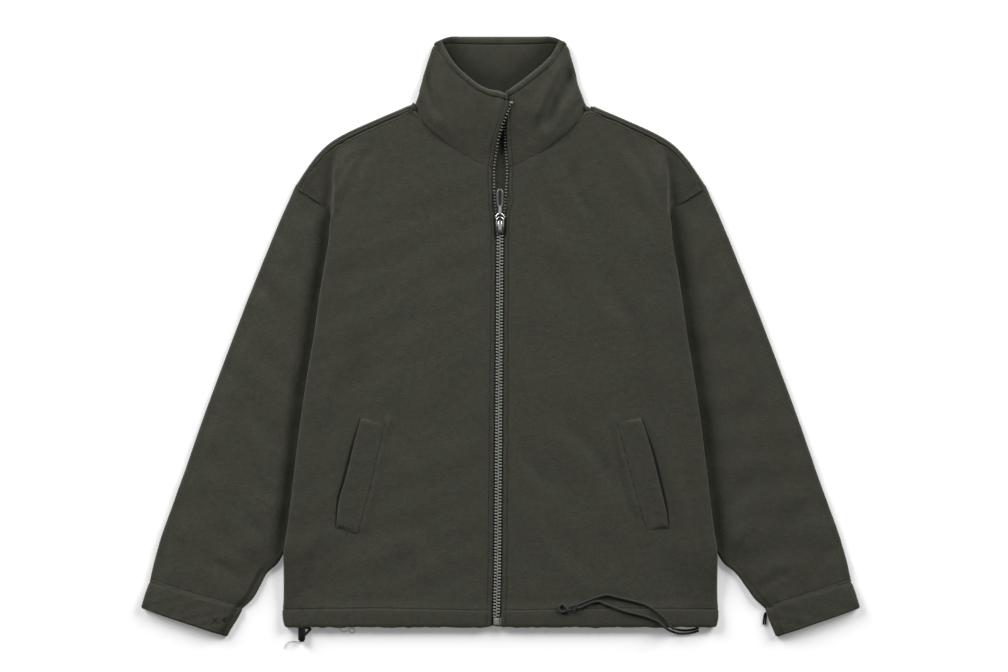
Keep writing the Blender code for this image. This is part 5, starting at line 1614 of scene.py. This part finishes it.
def soft_edges(low, high, edge):
    """Heights and insets of a plate whose corners are quarter rounds."""
    turn = np.radians([0, 30, 60, 90])
    foot = [(low + edge * (1 - math.cos(a)), edge * (1 - math.sin(a))) for a in turn]
    return foot + [(high - (z - low), inset) for z, inset in foot[::-1]]


STOP_Y = 315.6


def zip_ends():
    """The box and the pin at the hem, and a stop above the last tooth of each row."""
    box = np.array([(-9.5, -389.3), (-5.5, -389.5), (-1.7, -389.3), (-1.6, -385), (-1.5, -380.2),
                    (-5.4, -380.0), (-9.3, -380.2), (-9.4, -385)])
    ridge = box * [0.45, 0.72] + [-3.0, -107.7]
    pin = np.array([(-0.9, -389.2), (0.9, -389.2), (1.3, -384), (1.5, -379.4), (-0.2, -379.4),
                    (-0.6, -384)])
    parts = [slab(box, soft_edges(4.35, 8.0, 0.7)), slab(ridge, soft_edges(7.8, 8.35, 0.25)),
             slab(pin, soft_edges(4.5, 7.4, 0.5))]
    for side in (-1, 1):
        x = float(zip_edge(STOP_Y, side)) + side * 2.2
        z = 4.5 + float(zip_lift(x, np.array(STOP_Y), side))
        stop = np.array([(-2.1, -1.3), (2.1, -1.3), (2.1, 1.3), (-2.1, 1.3)]) + [x, 315.4]
        parts.append(slab(stop, soft_edges(z, z + 3.0, 0.6), 32))
    points, faces = together(parts)
    made = write_mesh("zip_ends", points, faces, TEETH)
    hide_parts("zip_box")
    return made


zip_ends()

# %% [markdown]
# The slider is two shields joined by a post at the wide end, with turned rims down both sides and a crown,
# the little bridge that holds the tab's ring. The shields are painted to match the tape; the rims, crown
# and tab are bare plate. The tab is a ring, a forked neck and a long drop-shaped loop to hold.

# %% Slider
PAINTED = moulded("painted_metal", (0.030, 0.031, 0.026, 1.0), 0.33)
DULL = cast_metal("dull_plate", (0.27, 0.265, 0.28, 1.0), 0.34)
SLIDER_X, TAB_Z = -0.7, 10.2
SHIELD = np.array([(4.9, 140), (5.6, 147), (6.2, 154), (6.2, 158.5), (4.4, 161.2), (1.4, 160.4)])
SHIELD = np.vstack([SHIELD, SHIELD[::-1] * [-1, 1]]) + [SLIDER_X, 0]


def bar(line, half_wide, half_tall, around=14, power=0.8):
    """A rod along a line in space: rounded sections across it, whose half sizes may vary along it."""
    line = np.asarray(line, float)
    ways = unit(np.gradient(line, axis=0))
    across = np.cross(ways, [0.0, 0.0, 1.0])
    level = np.linalg.norm(across, axis=1)[:, None]
    across = np.where(level > 0.2, unit(across), [1.0, 0.0, 0.0])
    over = np.cross(across, ways)
    outline = rounded(1.0, 1.0, around, power)
    wide, tall = np.broadcast_to(half_wide, len(line)), np.broadcast_to(half_tall, len(line))
    return (line[:, None] + (wide[:, None] * outline[:, 0])[..., None] * across[:, None]
            + (tall[:, None] * outline[:, 1])[..., None] * over[:, None])


def slider():
    """Painted shields and post; bare rims and crown."""
    post = np.array([(-1.0, 157.6), (0, 155.4), (1.0, 157.6), (0.8, 160.0), (-0.8, 160.0)]) + [SLIDER_X, 0]
    points, faces = together([
        slab(SHIELD, soft_edges(2.95, 4.1, 0.4)), slab(SHIELD, soft_edges(7.7, 9.1, 0.5)),
        slab(post, [(4.0, 0), (7.8, 0)], 20),
    ])
    body = write_mesh("slider_shields", points, faces, PAINTED)
    s = np.linspace(-1, 1, 25)
    ends = np.sqrt(np.clip(1 - np.abs(s) ** 3, 0.03, 1))
    parts = []
    for side in (-1, 1):
        line = np.column_stack([SLIDER_X + side * (5.0 + 0.3 * s), 150.2 + 3.6 * s, np.full(25, 9.0)])
        parts.append(tube_mesh(bar(line, 0.50 * ends, 0.50 * ends, 12)))
    arch = path([(141.2, 8.6), (141.5, 10.6), (143.2, 12.0), (147.0, 12.5), (151.0, 12.4), (154.4, 11.7),
                 (156.4, 10.4), (156.9, 8.6)], np.linspace(0, 1, 41))
    line = np.column_stack([np.full(41, SLIDER_X), arch])
    width = 1.5 + 1.5 * np.sin(np.linspace(0.08, math.pi - 0.08, 41)) ** 0.7
    turned = -unit(np.cross(np.gradient(line, axis=0), [1.0, 0.0, 0.0]))
    outline = rounded(1.0, 0.62, 18, 0.8)
    rings = (line[:, None] + (width[:, None] * outline[:, 0])[..., None] * np.array([1.0, 0.0, 0.0])
             + outline[None, :, 1, None] * turned[:, None])
    parts.append(tube_mesh(rings))
    points, faces = together(parts)
    crown = write_mesh("slider_crown", points, faces, STEEL)
    for made in (body, crown):
        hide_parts("zip_slider")


def pull_tab():
    """Ring with its pin, fork and neck, bright; the loop that is held, duller."""
    def level(plan):
        return np.column_stack([SLIDER_X + plan[:, 0], plan[:, 1], np.full(len(plan), TAB_Z)])

    half = np.array([(4.55, 149.5), (4.7, 153.0), (4.55, 156.5), (3.7, 159.4), (2.1, 161.0), (0.0, 161.6)])
    ring = path(np.vstack([half, half[-2::-1] * [-1, 1]]), np.linspace(0, 1, 60))
    parts = [tube_mesh(bar(level(ring), 0.85, 0.65)),
             tube_mesh(bar([(SLIDER_X + x, SLIDER_Y, TAB_Z) for x in (-4.9, -2.0, 2.0, 4.9)], 0.65, 0.65))]
    for side in (-1, 1):
        arm = path([(0.3, 167.0), (1.9, 165.9), (3.9, 164.3), (5.5, 162.6), (5.9, 160.8), (5.3, 158.8)],
                   np.linspace(0, 1, 24))
        thin = np.append(np.full(18, 0.80), np.linspace(0.78, 0.35, 6))
        parts.append(tube_mesh(bar(level(arm * [side, 1]), thin, 0.62)))
    s = np.linspace(0, 1, 20)
    neck = level(np.column_stack([0 * s, 165.6 + 10.2 * s]))
    parts.append(tube_mesh(bar(neck, 2.45 - 0.25 * np.sin(math.pi * s), 0.66, 18, 0.6)))
    points, faces = together(parts)
    bright = write_mesh("pull_tab_neck", points, faces, STEEL, body="pull")
    half = np.array([(1.3, 175.0), (2.5, 176.6), (3.1, 179.6), (3.3, 184.5), (3.35, 190.0), (3.2, 194.2),
                     (2.2, 197.3), (0.0, 198.5)])
    loop = path(np.vstack([half, half[-2::-1] * [-1, 1]]), np.linspace(0, 1, 110))
    points, faces = tube_mesh(bar(level(loop), 1.2, 0.66, 16, 0.75))
    grip = write_mesh("pull_tab_loop", points, faces, DULL, body="pull")
    for made in (bright, grip):
        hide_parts("zip_pull")


slider()
pull_tab()

# %% [markdown]
# ## Topstitching
#
# A lockstitch shows as a row of short capsules of thread, each sunk at both ends. One capsule is repeated
# along lines found on the cloth itself: beside the zip, above the hem, round the collar's rim, along the
# shoulders and above the armholes. The wearer's right cuff has two small tacks, and two ends of thread lie
# loose below the hem. Where the shoulder seams meet the collar, the cloth bunches a little.

# %% Lines on a cloth


def seam_line(outer, inner, measure, value, across=False):
    """Points and outward ways where a grid's distance, down its rows or across them, has a value."""
    if across:
        outer, inner = outer.transpose(1, 0, 2), inner.transpose(1, 0, 2)
    at = np.asarray(measure).ravel()
    k = int(np.clip(np.searchsorted(at, value), 1, len(at) - 1))
    share = (value - at[k - 1]) / (at[k] - at[k - 1])
    line = outer[k - 1] * (1 - share) + outer[k] * share
    up = line - (inner[k - 1] * (1 - share) + inner[k] * share)
    return line, unit(up)


STITCH = [
    # place along the thread, radius, height over the cloth
    (-1.18, 0.06, -0.10), (-0.95, 0.20, 0.02), (-0.35, 0.25, 0.12), (0.35, 0.25, 0.12), (0.95, 0.20, 0.02),
    (1.18, 0.06, -0.10),
]


def stitches(line, up, pitch=3.1, size=1.0):
    """Capsules of six sides at even distances along a line, sunk at both ends."""
    run = run_of(line)
    at = np.arange(0.6 * pitch, run[-1] - 0.4 * pitch, pitch)
    spot, normal, fore, aft = (
        np.column_stack([np.interp(where, run, what[:, k]) for k in range(3)])
        for what, where in ((line, at), (up, at), (line, at + 1.1), (line, at - 1.1))
    )
    way = unit(fore - aft)
    side = unit(np.cross(normal, way))
    angle = np.linspace(0, 2 * math.pi, 6, endpoint=False)
    rings = [size * np.column_stack([np.full(6, d), r * np.cos(angle), lift + r * np.sin(angle)])
             for d, r, lift in STITCH]
    return copies(rings, spot, way, side, np.cross(way, side))


# %% Rows of stitches
rows = []
for side in (-1, 1):
    _, outer, inner, up, out, width = fronts[side]
    rows += [stitches(*seam_line(outer, inner, out, ZIP_STITCH, across=True)),
             stitches(*seam_line(outer, inner, up, HEM_STITCH))]
    line, way = seam_line(outer, inner, out, width - CAP_STITCH, across=True)
    cap = line[:, 1] > 163
    rows.append(stitches(line[cap], way[cap]))
    _, outer, inner, down, length = sleeves[side]
    rows.append(stitches(*seam_line(outer, inner, down, length - SLEEVE_STITCH)))
_, outer, inner, up, height = back_cloth
rows.append(stitches(*seam_line(outer, inner, up, HEM_STITCH)))
line, way = seam_line(outer, inner, up, height - SHOULDER_STITCH)
for some in (line[:, 0] > 122, line[:, 0] < -122):
    rows.append(stitches(line[some], way[some]))
_, outer, inner, up, out, height, width = collar_cloth
rows += [stitches(*seam_line(outer, inner, up, height - RIM_STITCH)),
         stitches(*seam_line(inner, outer, up, height - RIM_STITCH))]
rows += [stitches(*seam_line(outer, inner, out, place, across=True))
         for place in (COLLAR_END_STITCH, width - COLLAR_END_STITCH)]
points, faces = together(rows)
topstitching = write_mesh("topstitching", points, faces, THREAD)

# %% Bunches at the ends of the collar's seam
bunches = [
    tube_mesh(bar([(side * 111.0, 311.0, 5.0), (side * 115.0, 308.8, 5.6), (side * 119.5, 306.4, 5.8),
                   (side * 124.5, 304.0, 5.0)], [1.5, 3.2, 3.4, 1.6], [1.2, 2.4, 2.4, 1.4], 20, 0.9))
    for side in (-1, 1)
]
points, faces = together(bunches)
neck_corners = write_mesh("neck_corners", points, faces, FLEECE)

# %% Tacks on a cuff, and loose ends


def laid_on(grid, plan, lift):
    """Points of a plan set on the nearest upper points of a grid."""
    top = grid.reshape(-1, 3)
    top = top[top[:, 2] > 4.5]
    near = np.argmin(np.linalg.norm(np.asarray(plan)[:, None] - top[None, :, :2], axis=2), axis=1)
    return np.column_stack([plan, top[near, 2] + lift])


def dense_row(line):
    """A row of close stitches on a line that lies level."""
    return stitches(line, np.tile([0.0, 0.0, 1.0], (len(line), 1)), 1.15, 1.15)


cuff_top = cuffs[-1][1]
cross, ring = np.array([-385.4, -382.2]), np.array([-371.6, -381.4])
s = np.linspace(-1, 1, 9)[:, None]
turn = np.linspace(math.radians(50), math.radians(310), 16)[:, None]
plans = [cross + s * way for way in ([[4.2, 4.6]], [[4.4, -4.4]])]
plans += [ring + radius * np.hstack([np.cos(turn), np.sin(turn)]) for radius in (1.6, 2.6)]
tacks = [dense_row(laid_on(cuff_top, plan, 0.1)) for plan in plans]
THREAD_ENDS = [
    [(-271.6, -412.6, 1.6), (-276.0, -412.4, 0.5), (-281.8, -412.0, 0.5), (-286.8, -413.4, 0.5),
     (-290.2, -417.0, 0.5), (-292.6, -421.6, 0.5)],
    [(-217.6, -389.6, 1.4), (-217.4, -394.6, 0.4), (-213.4, -398.8, 0.4), (-207.6, -398.0, 0.4),
     (-204.2, -394.2, 0.4), (-200.4, -394.6, 0.4), (-196.8, -396.4, 0.4), (-198.6, -400.2, 0.4),
     (-203.0, -400.0, 0.4), (-204.4, -396.0, 0.7)],
]
tacks += [tube_mesh(braid(along_route(route, 0.7), 0.55, around=6, flat=0.0)[0]) for route in THREAD_ENDS]
points, faces = together(tacks)
tack_mesh = write_mesh("cuff_tacks_and_thread_ends", points, faces, DARK_THREAD)
